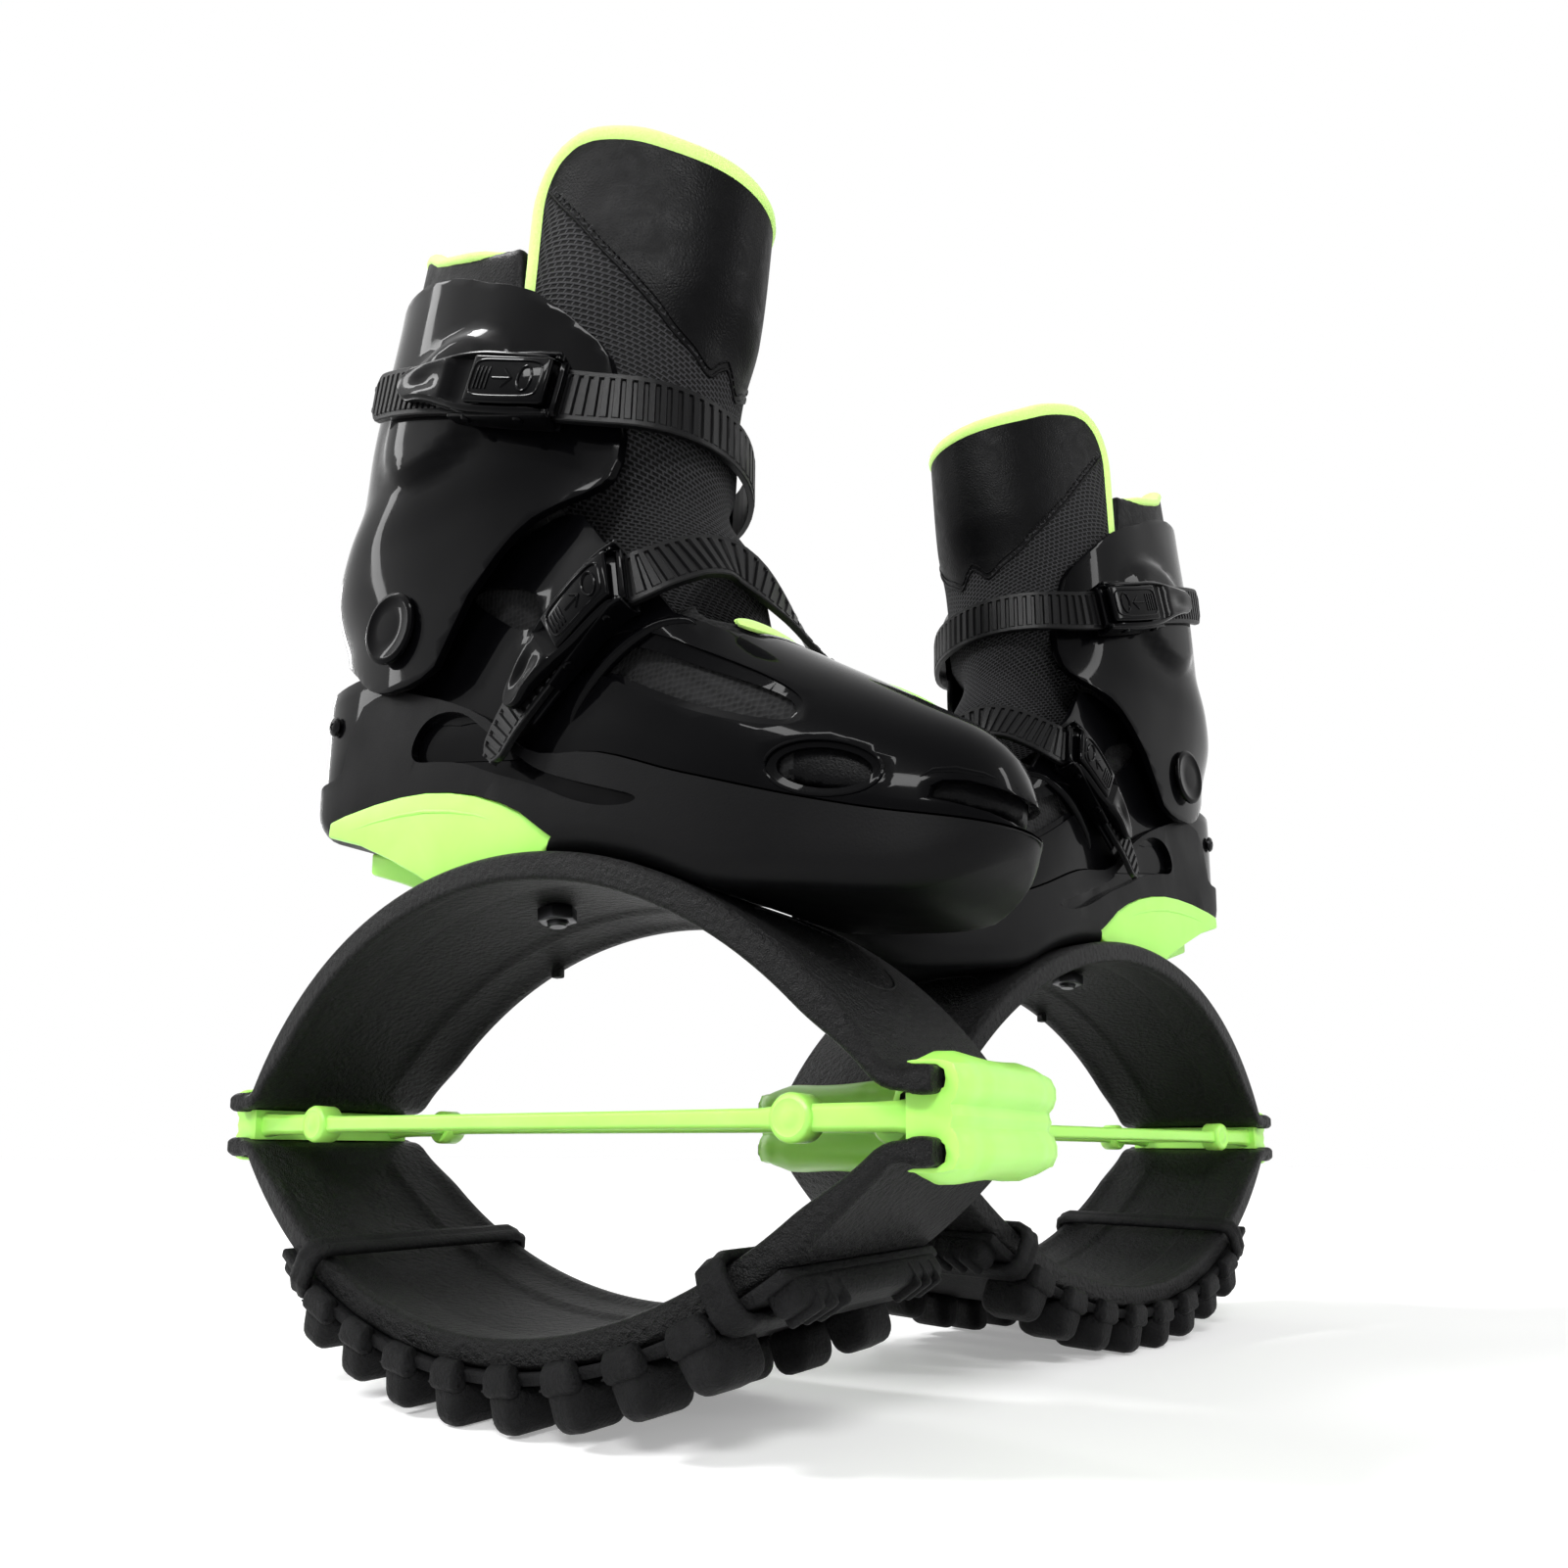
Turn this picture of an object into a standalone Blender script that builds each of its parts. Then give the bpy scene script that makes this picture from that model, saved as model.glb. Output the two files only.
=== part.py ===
"""A pair of jumping shoes: a boot on a ring of two curved springs, right and left.

Each shoe is modelled once in its own frame, in metres: x points to the toe, y to the wearer's
left, z up from the floor, with the ring centred over the origin. The right shoe is placed as
modelled and the left shoe is its mirror image.
"""
from math import asin, atan2, cos, pi, radians, sin, sqrt

import bmesh
import bpy
from mathutils import Matrix, Vector

for old in list(bpy.data.objects):
    bpy.data.objects.remove(old, do_unlink=True)

# How the two shoes stand: the left one is behind the right one and points at its side
LEFT_STEP_SHARE = 0.297
LEFT_APART = 0.015
LEFT_YAW = 257.0

# Clearance between touching pieces, gap between moving or soft pieces, cutter overrun
GAP = 0.0004
LOOSE = 0.0012
SEAT_CLEAR = 0.0009
OVERRUN = 0.020

# Ring of two curved springs
RING_LENGTH = 0.330
RING_MID_WIDTH = 0.101
RING_END_WIDTH = 0.088
LEAF_THICKNESS = 0.0055
LIP_REACH = 0.0098
UPPER_RISE = 0.0795
LOWER_DROP = 0.0687
LIP_GAP = 0.014
LIP_BEND = 0.010
RIM_HEIGHT = 0.0045
RIM_WIDTH = 0.005
RIM_FADE = 0.0005
RIM_END_SHARE = 0.35
RIM_RUN = 8
LEAF_STEPS = 16
BEND_STEPS = 3

# Tread and the rubber collars that hold it on the lower spring
TREAD_DEPTH = 0.0195
TREAD_SKIN = 0.004
TREAD_OVERHANG = 0.0015
TREAD_REACH_SHARE = 0.7364
TREAD_SHIFT = 0.006
BLOCK_COUNT = 8
BLOCK_PITCH_SHARE = 0.1509
BLOCK_LENGTH_SHARE = 0.6627
BLOCK_WIDTH = 0.024
BLOCK_OVERHANG = 0.0045
BLOCK_CHEEK = 0.003
BLOCK_CORNER = 0.0045
BLOCK_TAPER = 0.0018
BLOCK_SINK = 0.0015
PAD_LENGTH = 0.011
PAD_DEPTH = 0.009
COLLAR_PLACE_SHARE = 0.6182
COLLAR_LENGTH = 0.011
COLLAR_THICKNESS = 0.0045
COLLAR_CORNER = 0.003

# Tension spring: two bars, two rungs with round knobs, and a gripping head at each end
BAR_SPREAD = 0.0635
BAR_WIDTH = 0.0065
BAR_THIN = 0.0065
BAR_THICK = 0.0085
RUNG_PLACE_SHARE = 0.703
RUNG_LENGTH = 0.008
KNOB_DIAMETER = 0.015
KNOB_WIDTH = 0.0105
HEAD_WIDTH = 0.076
HEAD_HEIGHT = 0.037
HEAD_WALL = 0.007
HEAD_LAP = 0.009
HEAD_WAIST = 0.0045
HEAD_TIP = 0.0035
LIP_CLEAR = 0.0005

# Boot, with heights counted from the top of the ring
HEEL_REACH = 0.149
BOOT_LENGTH = 0.328
BOOT_WIDTH = 0.094
BOOT_HEIGHT = 0.277
SHELL_WALL = 0.003
CUFF_WALL = 0.0032
LINER_WALL = 0.0072
TONGUE_WALL = 0.0075
HEEL_POWER = 9
TOE_POWER = 5
SHAFT_POWER = 3
FRONT_POWER = 2.7
DOME_POWER = 2.2
PLAN_STEPS = 14

# Sole: corner rounding under the sole, pocket in it, and the lime heel pieces
SOLE_CORNER = 0.010
SOLE_UNDERCUT = 0.007
SOLE_FLOOR = 0.006
RECESS_LENGTH = 0.056
RECESS_HEIGHT = 0.013
RECESS_DEPTH = 0.0022
INSERT_WIDTH = 0.013
INSERT_FACE = 0.0405
PLUG_WIDTH = 0.050
PLUG_TOP_CLEAR = 0.0006

# Screws, rivets and the bolt that joins the boot to the ring
BOLT_DIAMETER = 0.008
BOLT_HEAD = 0.015
BOLT_HEAD_THICK = 0.004
NUT_WIDTH = 0.014
NUT_THICK = 0.0055
PIVOT_HEAD = 0.029
PIVOT_HEAD_THICK = 0.0024
PIVOT_SHANK = 0.010
PIVOT_SPACER = 0.017
PIVOT_STAND_OFF = 0.0005
SCREW_HEAD = 0.009
SCREW_HEAD_THICK = 0.002
SCREW_SHANK = 0.0044
RIVET_HEAD = 0.011
RIVET_HEAD_THICK = 0.002
RIVET_SHANK = 0.005

# Straps and ratchet buckles, offsets counted outwards from the strap's own path
STRAP_WIDTH = 0.019
STRAP_THICKNESS = 0.0028
STRAP_CLEAR = 0.0036
INSTEP_CLEAR = 0.003
BASE_THICKNESS = 0.0018
LEVER_THICKNESS = 0.0048
LEVER_WIDTH = 0.0215
LEVER_TAIL_WIDTH = 0.014
TAB_THICKNESS = 0.0026
TAB_WIDTH = 0.0175
PIN_DIAMETER = 0.004

# Openings in the foot shell
WINDOW_LENGTH = 0.070
WINDOW_HEIGHT = 0.019
WINDOW_TILT = -25.0
TOE_HOLE_LENGTH = 0.031
TOE_HOLE_HEIGHT = 0.014
TOE_HOLE_TILT = -12.0
TOE_SLIT_LENGTH = 0.036
TOE_SLIT_HEIGHT = 0.0055
ANKLE_HOLE_LENGTH = 0.054
ANKLE_HOLE_HEIGHT = 0.021
ANKLE_HOLE_TILT = -30.0
THROAT_WIDTH = 0.0555

# Outlines as shares: along the boot from heel to toe, and up from the ring's top
FLOOR_SHARES = ((0, 0.199), (0.12, 0.191), (0.30, 0.17), (0.454, 0.137), (0.567, 0.117),
                (0.704, 0.056), (0.838, 0.002), (0.915, -0.02), (1, -0.032))
SEAM_SHARES = ((0, 0), (0.12, 0), (0.14, 0.054), (0.162, 0.101), (0.226, 0.116),
               (0.284, 0.101), (0.396, 0.065), (0.479, 0.011), (0.521, 0), (1, 0))
BOTTOM_SHARES = ((0, 0.162), (0.04, 0.123), (0.085, 0.101), (0.155, 0.079), (0.271, 0.047),
                 (0.393, 0.004), (0.454, -0.007), (0.534, -0.014), (0.637, -0.043),
                 (0.723, -0.076), (0.811, -0.09), (0.912, -0.101), (0.966, -0.079), (1, -0.047))
RIDGE_SHARES = ((0, 0.747), (0.576, 0.747), (0.622, 0.549), (0.668, 0.386), (0.723, 0.282),
                (0.79, 0.224), (0.854, 0.175), (0.909, 0.132), (0.96, 0.09), (0.985, 0.054),
                (1, 0.004))
SHELL_WIDTH_SHARES = ((0, 0.755), (0.149, 0.755), (0.271, 0.777), (0.393, 0.809),
                      (0.515, 0.872), (0.637, 0.968), (0.759, 1), (0.881, 0.957), (1, 0.894))
SOLE_WIDTH_SHARES = ((0, 0.83), (0.149, 0.83), (0.271, 0.851), (0.393, 0.883),
                     (0.515, 0.926), (0.637, 0.989), (0.759, 1.017), (0.881, 0.979), (1, 0.915))
DOME_LEVEL_SHARES = (0, 0.27, 0.52, 0.73, 0.88, 0.97)
LINER_DOME_SHARES = (0, 0.4, 0.74, 0.93)
LINER_CROWN_SHARE = 0.37

# Side outlines as (length share, height share)
SHELL_TOP_SHARES = ((1.1, 0.495), (0.756, 0.495), (0.75, 0.25), (0.729, 0.238),
                    (0.698, 0.256), (0.668, 0.264), (0.622, 0.343), (0.576, 0.39),
                    (0.534, 0.448), (0.485, 0.466), (0.393, 0.451), (0.271, 0.43),
                    (0.2, 0.405), (0.165, 0.345), (-0.1, 0.345), (-0.1, -0.2), (1.1, -0.2))
CUFF_SIDE_SHARES = ((0.28, 0.278), (0.332, 0.289), (0.354, 0.325), (0.387, 0.375),
                    (0.43, 0.415), (0.482, 0.451), (0.543, 0.466), (0.57, 0.487),
                    (0.579, 0.549), (0.57, 0.65), (0.546, 0.69), (0.485, 0.762),
                    (0.412, 0.812), (0.348, 0.856), (0.302, 0.877), (0.241, 0.895),
                    (-0.1, 0.917), (-0.1, 0.404), (0.064, 0.397), (0.113, 0.372),
                    (0.155, 0.336), (0.195, 0.3), (0.241, 0.282))
INSERT_TOP_SHARES = ((0.122, 0.116), (0.21, 0.126), (0.305, 0.123), (0.393, 0.101),
                     (0.47, 0.061), (0.521, 0.018))
INSERT_LOW_SHARES = ((0.119, 0.094), (0.18, 0.072), (0.241, 0.04), (0.296, 0.007))
INSERT_SEAT_SHARES = (0.326, 0.38, 0.45, 0.50)
PLUG_LOW_SHARES = ((0.14, 0.047), (0.198, 0.025), (0.271, -0.007))
PLUG_SEAT_SHARES = (0.315, 0.345)
PLUG_TOP_SHARES = (0.345, 0.27, 0.2, 0.14)
RECESS_SHARES = ((-0.5, -0.5), (-0.5, 0.35), (-0.38, 0.5), (-0.1, 0.5), (0.22, 0.1),
                 (0.5, -0.5), (0.1, -0.15), (-0.2, -0.35))

# Shaft: (height share, back, front, half width as a share of half the boot's width)
SHAFT_SHARES = ((0.249, 0.046, 0.735, 0.979), (0.386, 0.04, 0.701, 0.989),
                (0.487, 0.015, 0.655, 1.011), (0.549, 0.037, 0.643, 1.043),
                (0.61, 0.073, 0.646, 1.053), (0.697, 0.085, 0.659, 1.053),
                (0.78, 0.104, 0.683, 1.053), (0.888, 0.134, 0.698, 1.053),
                (1.06, 0.168, 0.71, 1.064))
CUFF_LEVEL_SHARES = (0.24, 0.386, 0.487, 0.549, 0.61, 0.78, 0.98)
LINER_LEVEL_SHARES = (0.315, 0.42, 0.466, 0.549, 0.61, 0.79)
LINER_TOP_SHARE = 1.04
LINER_NARROW_SHARES = ((0.386, 0.765), (0.466, 0.735), (0.549, 0.93), (0.61, 1), (1.06, 1))
COLLAR_TOP_SHARES = ((0.12, 1.045), (0.21, 1.014), (0.262, 0.975), (0.29, 0.942),
                     (0.345, 0.906), (0.405, 0.877), (0.454, 0.856))
# Tongue: (height share, front, half width share, edge)
TONGUE_SHARES = ((0.28, 0.712, 0.34, 0.655), (0.332, 0.701, 0.45, 0.591),
                 (0.386, 0.689, 0.53, 0.53), (0.484, 0.64, 0.58, 0.479),
                 (0.56, 0.631, 0.936, 0.46), (0.617, 0.634, 0.964, 0.454),
                 (0.697, 0.646, 0.964, 0.454), (0.78, 0.671, 0.964, 0.46))
TONGUE_TOP_SHARES = ((0, 0.939), (0.123, 0.971), (0.274, 0.982), (0.466, 0.971),
                     (0.63, 0.957), (0.767, 0.939), (1, 0.917))
TONGUE_RIM_SHARES = (0.96, 0.691, 0.964, 0.472)
TONGUE_HEART_SHARE = 0.338
TONGUE_STEPS = 7
THROAT_SPAN_SHARES = (0.449, 0.722)
THROAT_LEVEL_SHARE = 0.272
SHELF_SHARE = 0.45
TALL_SHARE = 1.3

# Places as (length share, height share)
PIVOT_SHARE = (0.253, 0.368)
SCREW_SHARE = (0.085, 0.285)
BOLT_SHARE = 0.3994
WINDOW_SHARE = (0.729, 0.148)
TOE_HOLE_SHARE = (0.848, 0.034)
TOE_SLIT_SHARE = (1, 0.002)
ANKLE_HOLE_SHARE = (0.453, 0.345)
RECESS_SHARE = (0.409, 0.185)
TOP_STRAP_SHARES = ((0.18, 0.748), (0.36, 0.668), (0.5, 0.602), (0.58, 0.58), (0.66, 0.577))
SHAFT_MIDDLE_SHARE = 0.61

# Instep strap route as (length share, side share of half the boot's width, height share)
INSTEP_ROUTE_SHARES = ((0.436, -0.968, 0.130), (0.466, -0.964, 0.177), (0.506, -0.964, 0.220),
                       (0.552, -0.962, 0.262), (0.604, -0.965, 0.300), (0.643, -0.93, 0.312),
                       (0.667, -0.77, 0.332), (0.681, -0.58, 0.350), (0.690, -0.36, 0.360),
                       (0.699, -0.138, 0.353), (0.709, 0.085, 0.330), (0.720, 0.298, 0.298),
                       (0.731, 0.511, 0.267), (0.738, 0.702, 0.236))
INSTEP_HEART_SHARE = (0.558, 0.148)
INSTEP_SPREAD_SHARES = (0.213, 0.98, 0.48)

# How far along its path each strap piece reaches, from the tail end
TOP_BASE_SPAN_SHARES = (0.17, 0.425)
TOP_LEVER_SPAN_SHARES = (0.108, 0.425)
TOP_TAB_SPAN_SHARES = (0.285, 0.412)
TOP_RIVET_SHARE = 0.965
INSTEP_RIVET_SHARE = 0.95
INSTEP_BASE_SPAN_SHARES = (0.12, 0.45)
INSTEP_LEVER_SPAN_SHARES = (0.11, 0.445)
INSTEP_TAB_SPAN_SHARES = (0.27, 0.425)
TOP_STRAP_SWEEP = (246.0, 437.0)
WRAP_STEPS = 24
SAMPLE_STEPS = 240

# Derived heights
LIP_LEVEL = LIP_GAP / 2 + LEAF_THICKNESS / 2
WAIST = TREAD_DEPTH + GAP + LEAF_THICKNESS / 2 + LOWER_DROP + LIP_LEVEL
RING_TOP = WAIST + LIP_LEVEL + UPPER_RISE + LEAF_THICKNESS / 2
HALF_WIDTH = BOOT_WIDTH / 2
LEAF_SPAN = RING_LENGTH - 2 * LIP_REACH
TREAD_REACH = RING_LENGTH / 2 * TREAD_REACH_SHARE
COLLAR_PLACE = RING_LENGTH / 2 * COLLAR_PLACE_SHARE
BLOCK_PITCH = RING_LENGTH / 2 * BLOCK_PITCH_SHARE
BLOCK_LENGTH = BLOCK_PITCH * BLOCK_LENGTH_SHARE
RUNG_PLACE = RING_LENGTH / 2 * RUNG_PLACE_SHARE
BOLT_PLACE = BOLT_SHARE * BOOT_LENGTH - HEEL_REACH
LEFT_REACH = max(BOOT_LENGTH - HEEL_REACH, RING_LENGTH / 2 + HEAD_WALL)
LEFT_PLACE = (LEFT_STEP_SHARE * RING_LENGTH,
              RING_MID_WIDTH / 2 + LEFT_APART - sin(radians(LEFT_YAW)) * LEFT_REACH)


def material(name, colour, roughness, metallic=0.0):
    """A plain Principled material with the photographed colour."""
    made = bpy.data.materials.new(name)
    made.use_nodes = True
    shader = made.node_tree.nodes["Principled BSDF"]
    shader.inputs["Base Color"].default_value = (*colour, 1.0)
    shader.inputs["Roughness"].default_value = roughness
    shader.inputs["Metallic"].default_value = metallic
    made.diffuse_color = (*colour, 1.0)
    return made


MATTE_BLACK = material("matte_black_plastic", (0.012, 0.012, 0.012), 0.62)
GLOSS_BLACK = material("gloss_black_plastic", (0.006, 0.006, 0.008), 0.12)
LIME = material("lime_plastic", (0.33, 1.0, 0.10), 0.38)
RUBBER = material("black_rubber", (0.010, 0.010, 0.010), 0.80)
FABRIC = material("black_fabric", (0.014, 0.014, 0.014), 0.90)
LEATHER = material("black_leatherette", (0.010, 0.010, 0.010), 0.45)
STEEL = material("dark_steel", (0.30, 0.30, 0.31), 0.35, 1.0)


def smooth(table, share):
    """Monotone cubic through a table of (share, value) points."""
    last = len(table) - 1
    if share <= table[0][0]:
        return table[0][1]
    if share >= table[last][0]:
        return table[last][1]
    seg = 0
    while share > table[seg + 1][0]:
        seg += 1

    def chord(k):
        return (table[k + 1][1] - table[k][1]) / (table[k + 1][0] - table[k][0])

    def slope(k):
        if k == 0:
            return chord(0)
        if k == last:
            return chord(last - 1)
        before, after = chord(k - 1), chord(k)
        return 0.0 if before * after <= 0 else 2 * before * after / (before + after)

    (x0, y0), (x1, y1) = table[seg], table[seg + 1]
    width = x1 - x0
    t = (share - x0) / width
    ease = t * t * (3 - 2 * t)
    bend = t * (1 - t) ** 2 * slope(seg) - t * t * (1 - t) * slope(seg + 1)
    return y0 + ease * (y1 - y0) + width * bend


def column(table, index):
    """One column of a table against its first column."""
    return tuple((row[0], row[index]) for row in table)


def along(share):
    """Place along the boot, from heel to toe."""
    return -HEEL_REACH + share * BOOT_LENGTH


def share_at(x):
    return (x + HEEL_REACH) / BOOT_LENGTH


def height(share):
    """Height above the floor of a share of the boot's height above the ring."""
    return RING_TOP + share * BOOT_HEIGHT


def solid(verts, faces, split=False):
    """A closed mesh with its faces pointing out, split into triangles where they aren't flat."""
    made = bmesh.new()
    placed = [made.verts.new(point) for point in verts]
    for face in faces:
        made.faces.new([placed[i] for i in face])
    if split:
        bmesh.ops.triangulate(made, faces=made.faces)
    bmesh.ops.recalc_face_normals(made, faces=made.faces)
    mesh = bpy.data.meshes.new("piece")
    made.to_mesh(mesh)
    made.free()
    return mesh


def loft(rings, strip_caps=False):
    """Closed rings of equal length joined in order, with both ends filled."""
    count = len(rings[0])
    verts = [point for ring in rings for point in ring]
    faces = []
    for level in range(len(rings) - 1):
        low, high = level * count, (level + 1) * count
        for i in range(count):
            j = (i + 1) % count
            faces.append((low + i, low + j, high + j, high + i))
    for start in (0, (len(rings) - 1) * count):
        faces += strip_cap(start, count) if strip_caps else [tuple(range(start, start + count))]
    return solid(verts, faces, split=strip_caps)


def strip_cap(start, count):
    """Fills a ring that mirrors itself across its first and middle points."""
    half = count // 2
    faces = [(start, start + 1, start + count - 1),
             (start + half, start + half + 1, start + half - 1)]
    for i in range(1, half - 1):
        faces.append((start + i, start + i + 1, start + count - i - 1, start + count - i))
    return faces


def prism(outline, side_from, side_to):
    """A side outline of (x, z) points extruded across the shoe."""
    rings = [[(x, side, z) for x, z in outline] for side in (side_from, side_to)]
    return loft(rings)


def turned(stations, steps=16):
    """A solid turned about z from (radius, z) stations."""
    rings = []
    for radius, z in stations:
        rings.append([(radius * cos(2 * pi * i / steps), radius * sin(2 * pi * i / steps), z)
                      for i in range(steps)])
    return loft(rings)


def moved(mesh, matrix):
    mesh.transform(matrix)
    return mesh


def aimed(place, direction):
    """A matrix that turns z to a direction and moves the origin to a place."""
    turn = Vector((0, 0, 1)).rotation_difference(Vector(direction).normalized())
    return Matrix.Translation(place) @ turn.to_matrix().to_4x4()


def combined(base, parts, operation):
    """The base mesh joined with, cut by or kept inside each of the parts."""
    body = bpy.data.objects.new("body", base)
    bpy.context.collection.objects.link(body)
    tools = []
    for part in parts:
        tool = bpy.data.objects.new("tool", part)
        bpy.context.collection.objects.link(tool)
        step = body.modifiers.new("step", "BOOLEAN")
        step.operation = operation
        step.solver = "EXACT"
        step.object = tool
        tools.append(tool)
    graph = bpy.context.evaluated_depsgraph_get()
    result = bpy.data.meshes.new_from_object(body.evaluated_get(graph))
    for spare in [body, *tools]:
        bpy.data.objects.remove(spare, do_unlink=True)
    return tidied(result)


def tidied(mesh):
    """Merges the sliver points that a cut leaves behind."""
    made = bmesh.new()
    made.from_mesh(mesh)
    bmesh.ops.remove_doubles(made, verts=made.verts, dist=GAP / 20)
    bmesh.ops.dissolve_degenerate(made, edges=made.edges, dist=GAP / 40)
    made.to_mesh(mesh)
    made.free()
    return mesh


def joined(base, *parts):
    return combined(base, parts, "UNION")


def cut(base, *parts):
    return combined(base, parts, "DIFFERENCE")


def kept_inside(base, *parts):
    return combined(base, parts, "INTERSECT")


def shoe_empty(name, place, yaw):
    """The empty that carries one shoe."""
    carrier = bpy.data.objects.new(name, None)
    carrier.location = (place[0], place[1], 0)
    carrier.rotation_euler = (0, 0, radians(yaw))
    bpy.context.collection.objects.link(carrier)
    return carrier


RIGHT = shoe_empty("right_shoe", (0, 0), 0)
LEFT = shoe_empty("left_shoe", LEFT_PLACE, LEFT_YAW)


def place(name, mesh, finish, origin=(0, 0, 0)):
    """Puts a piece on the right shoe and its mirror image on the left one."""
    mesh.materials.clear()
    mesh.materials.append(finish)
    twin = mesh.copy()
    twin.transform(Matrix.Scale(-1, 4, (0, 1, 0)))
    twin.flip_normals()
    for prefix, carrier, shape, side in (("right_", RIGHT, mesh, 1), ("left_", LEFT, twin, -1)):
        pivot = Vector((origin[0], side * origin[1], origin[2]))
        shape.transform(Matrix.Translation(-pivot))
        shape.name = prefix + name
        shape.shade_smooth()
        shape.set_sharp_from_angle(angle=radians(35))
        piece = bpy.data.objects.new(prefix + name, shape)
        piece.location = pivot
        piece.parent = carrier
        bpy.context.collection.objects.link(piece)


# The ring's curved springs

def leaf_shape(rise):
    """Radius, centre height, bend place and end angle of a leaf's middle line."""
    half = LEAF_SPAN / 2
    radius = (half * half + (rise - LIP_BEND) ** 2 - LIP_BEND ** 2) / (2 * rise)
    centre = rise - radius
    return radius, centre, half, atan2(half, LIP_BEND - centre)


def leaf_stations(rise):
    """(x, z, angle, share) along a leaf, z from the lips' middle, share 0 mid to 1 end."""
    radius, centre, half, limit = leaf_shape(rise)
    side = []
    for i in range(LEAF_STEPS // 2 + 1):
        angle = limit * i / (LEAF_STEPS // 2)
        side.append((radius * sin(angle), centre + radius * cos(angle), angle, angle / limit))
    for i in range(1, BEND_STEPS + 1):
        angle = limit * (1 - i / BEND_STEPS)
        side.append((half - LIP_BEND * sin(angle), LIP_BEND - LIP_BEND * cos(angle), angle, 1))
    side.append((RING_LENGTH / 2, 0, 0, 1))
    return [(-x, z, -angle, share) for x, z, angle, share in reversed(side[1:])] + side


def leaf_half_width(share):
    return (RING_END_WIDTH + (RING_MID_WIDTH - RING_END_WIDTH) * cos(share * pi / 2)) / 2


def leaf(rise, level, up):
    """One leaf: a plate with a raised rim along both inner edges, ending in flat lips."""
    rings = []
    stations = leaf_stations(rise)
    for x, z, angle, share in stations:
        half = leaf_half_width(share)
        straight = abs(angle) < radians(1) and share == 1
        rim = RIM_FADE if straight else RIM_HEIGHT * min(1, RIM_END_SHARE + RIM_RUN * (1 - share))
        outer, inner = LEAF_THICKNESS / 2, -LEAF_THICKNESS / 2
        section = [(-half, outer), (half, outer), (half, inner - rim),
                   (half - RIM_WIDTH, inner - rim), (half - RIM_WIDTH, inner),
                   (RIM_WIDTH - half, inner), (RIM_WIDTH - half, inner - rim),
                   (-half, inner - rim)]
        rings.append([(x + n * sin(angle), y, level + up * (z + n * cos(angle)))
                      for y, n in section])
    return loft(rings)


def arc_height(x, rise, level, offset):
    """Height of an upper leaf's face, offset outwards from its middle line."""
    radius, centre, half, limit = leaf_shape(rise)
    return level + centre + sqrt(max((radius + offset) ** 2 - x * x, 0))


def ring_seat(x):
    """Height just clear of the ring's top face."""
    return arc_height(x, UPPER_RISE, WAIST + LIP_LEVEL, LEAF_THICKNESS / 2) + SEAT_CLEAR


def upper_spring():
    mesh = leaf(UPPER_RISE, WAIST + LIP_LEVEL, 1)
    hole = turned([(BOLT_DIAMETER / 2 + GAP, -OVERRUN), (BOLT_DIAMETER / 2 + GAP, OVERRUN)])
    return cut(mesh, moved(hole, bolt_frame(RING_TOP - LEAF_THICKNESS)))


def bolt_frame(z):
    """A frame on the bolt's axis, which stands square to the ring's top."""
    radius, centre, half, limit = leaf_shape(UPPER_RISE)
    lean = asin(BOLT_PLACE / radius)
    axis_foot = WAIST + LIP_LEVEL + centre
    reach = z - axis_foot
    return aimed((reach * sin(lean), 0, axis_foot + reach * cos(lean)), (sin(lean), 0, cos(lean)))


def lower_point(x_angle, offset):
    """A point and its angle on the lower leaf, offset outwards from the middle line."""
    radius, centre, half, limit = leaf_shape(LOWER_DROP)
    reach = radius + offset
    return reach * sin(x_angle), WAIST - LIP_LEVEL - centre - reach * cos(x_angle)


def lower_angle(x):
    return asin(x / leaf_shape(LOWER_DROP)[0])


def lower_half_width(angle):
    return leaf_half_width(abs(angle) / leaf_shape(LOWER_DROP)[3])


# Tread and collars

def tread():
    """A rubber skin under the lower spring, with two rows of blocks and two end pads."""
    inner = LEAF_THICKNESS / 2 + GAP
    reach = lower_angle(TREAD_REACH)
    rings = []
    for i in range(LEAF_STEPS + 1):
        angle = reach * (2 * i / LEAF_STEPS - 1) + lower_angle(TREAD_SHIFT)
        half = lower_half_width(angle) + TREAD_OVERHANG
        ring = []
        for y, offset in ((-half, inner), (half, inner), (half, inner + TREAD_SKIN),
                          (-half, inner + TREAD_SKIN)):
            x, z = lower_point(angle, offset)
            ring.append((x, y, z))
        rings.append(ring)
    skin = loft(rings)
    blocks = []
    for i in range(BLOCK_COUNT):
        angle = lower_angle(BLOCK_PITCH) * (i - (BLOCK_COUNT - 1) / 2) + lower_angle(TREAD_SHIFT)
        flat = abs(angle) < lower_angle(BLOCK_PITCH)
        for side in (-1, 1):
            blocks.append(tread_block(angle, side, flat))
    for side in (-1, 1):
        blocks.append(end_pad(side))
    return joined(skin, *blocks)


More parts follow.
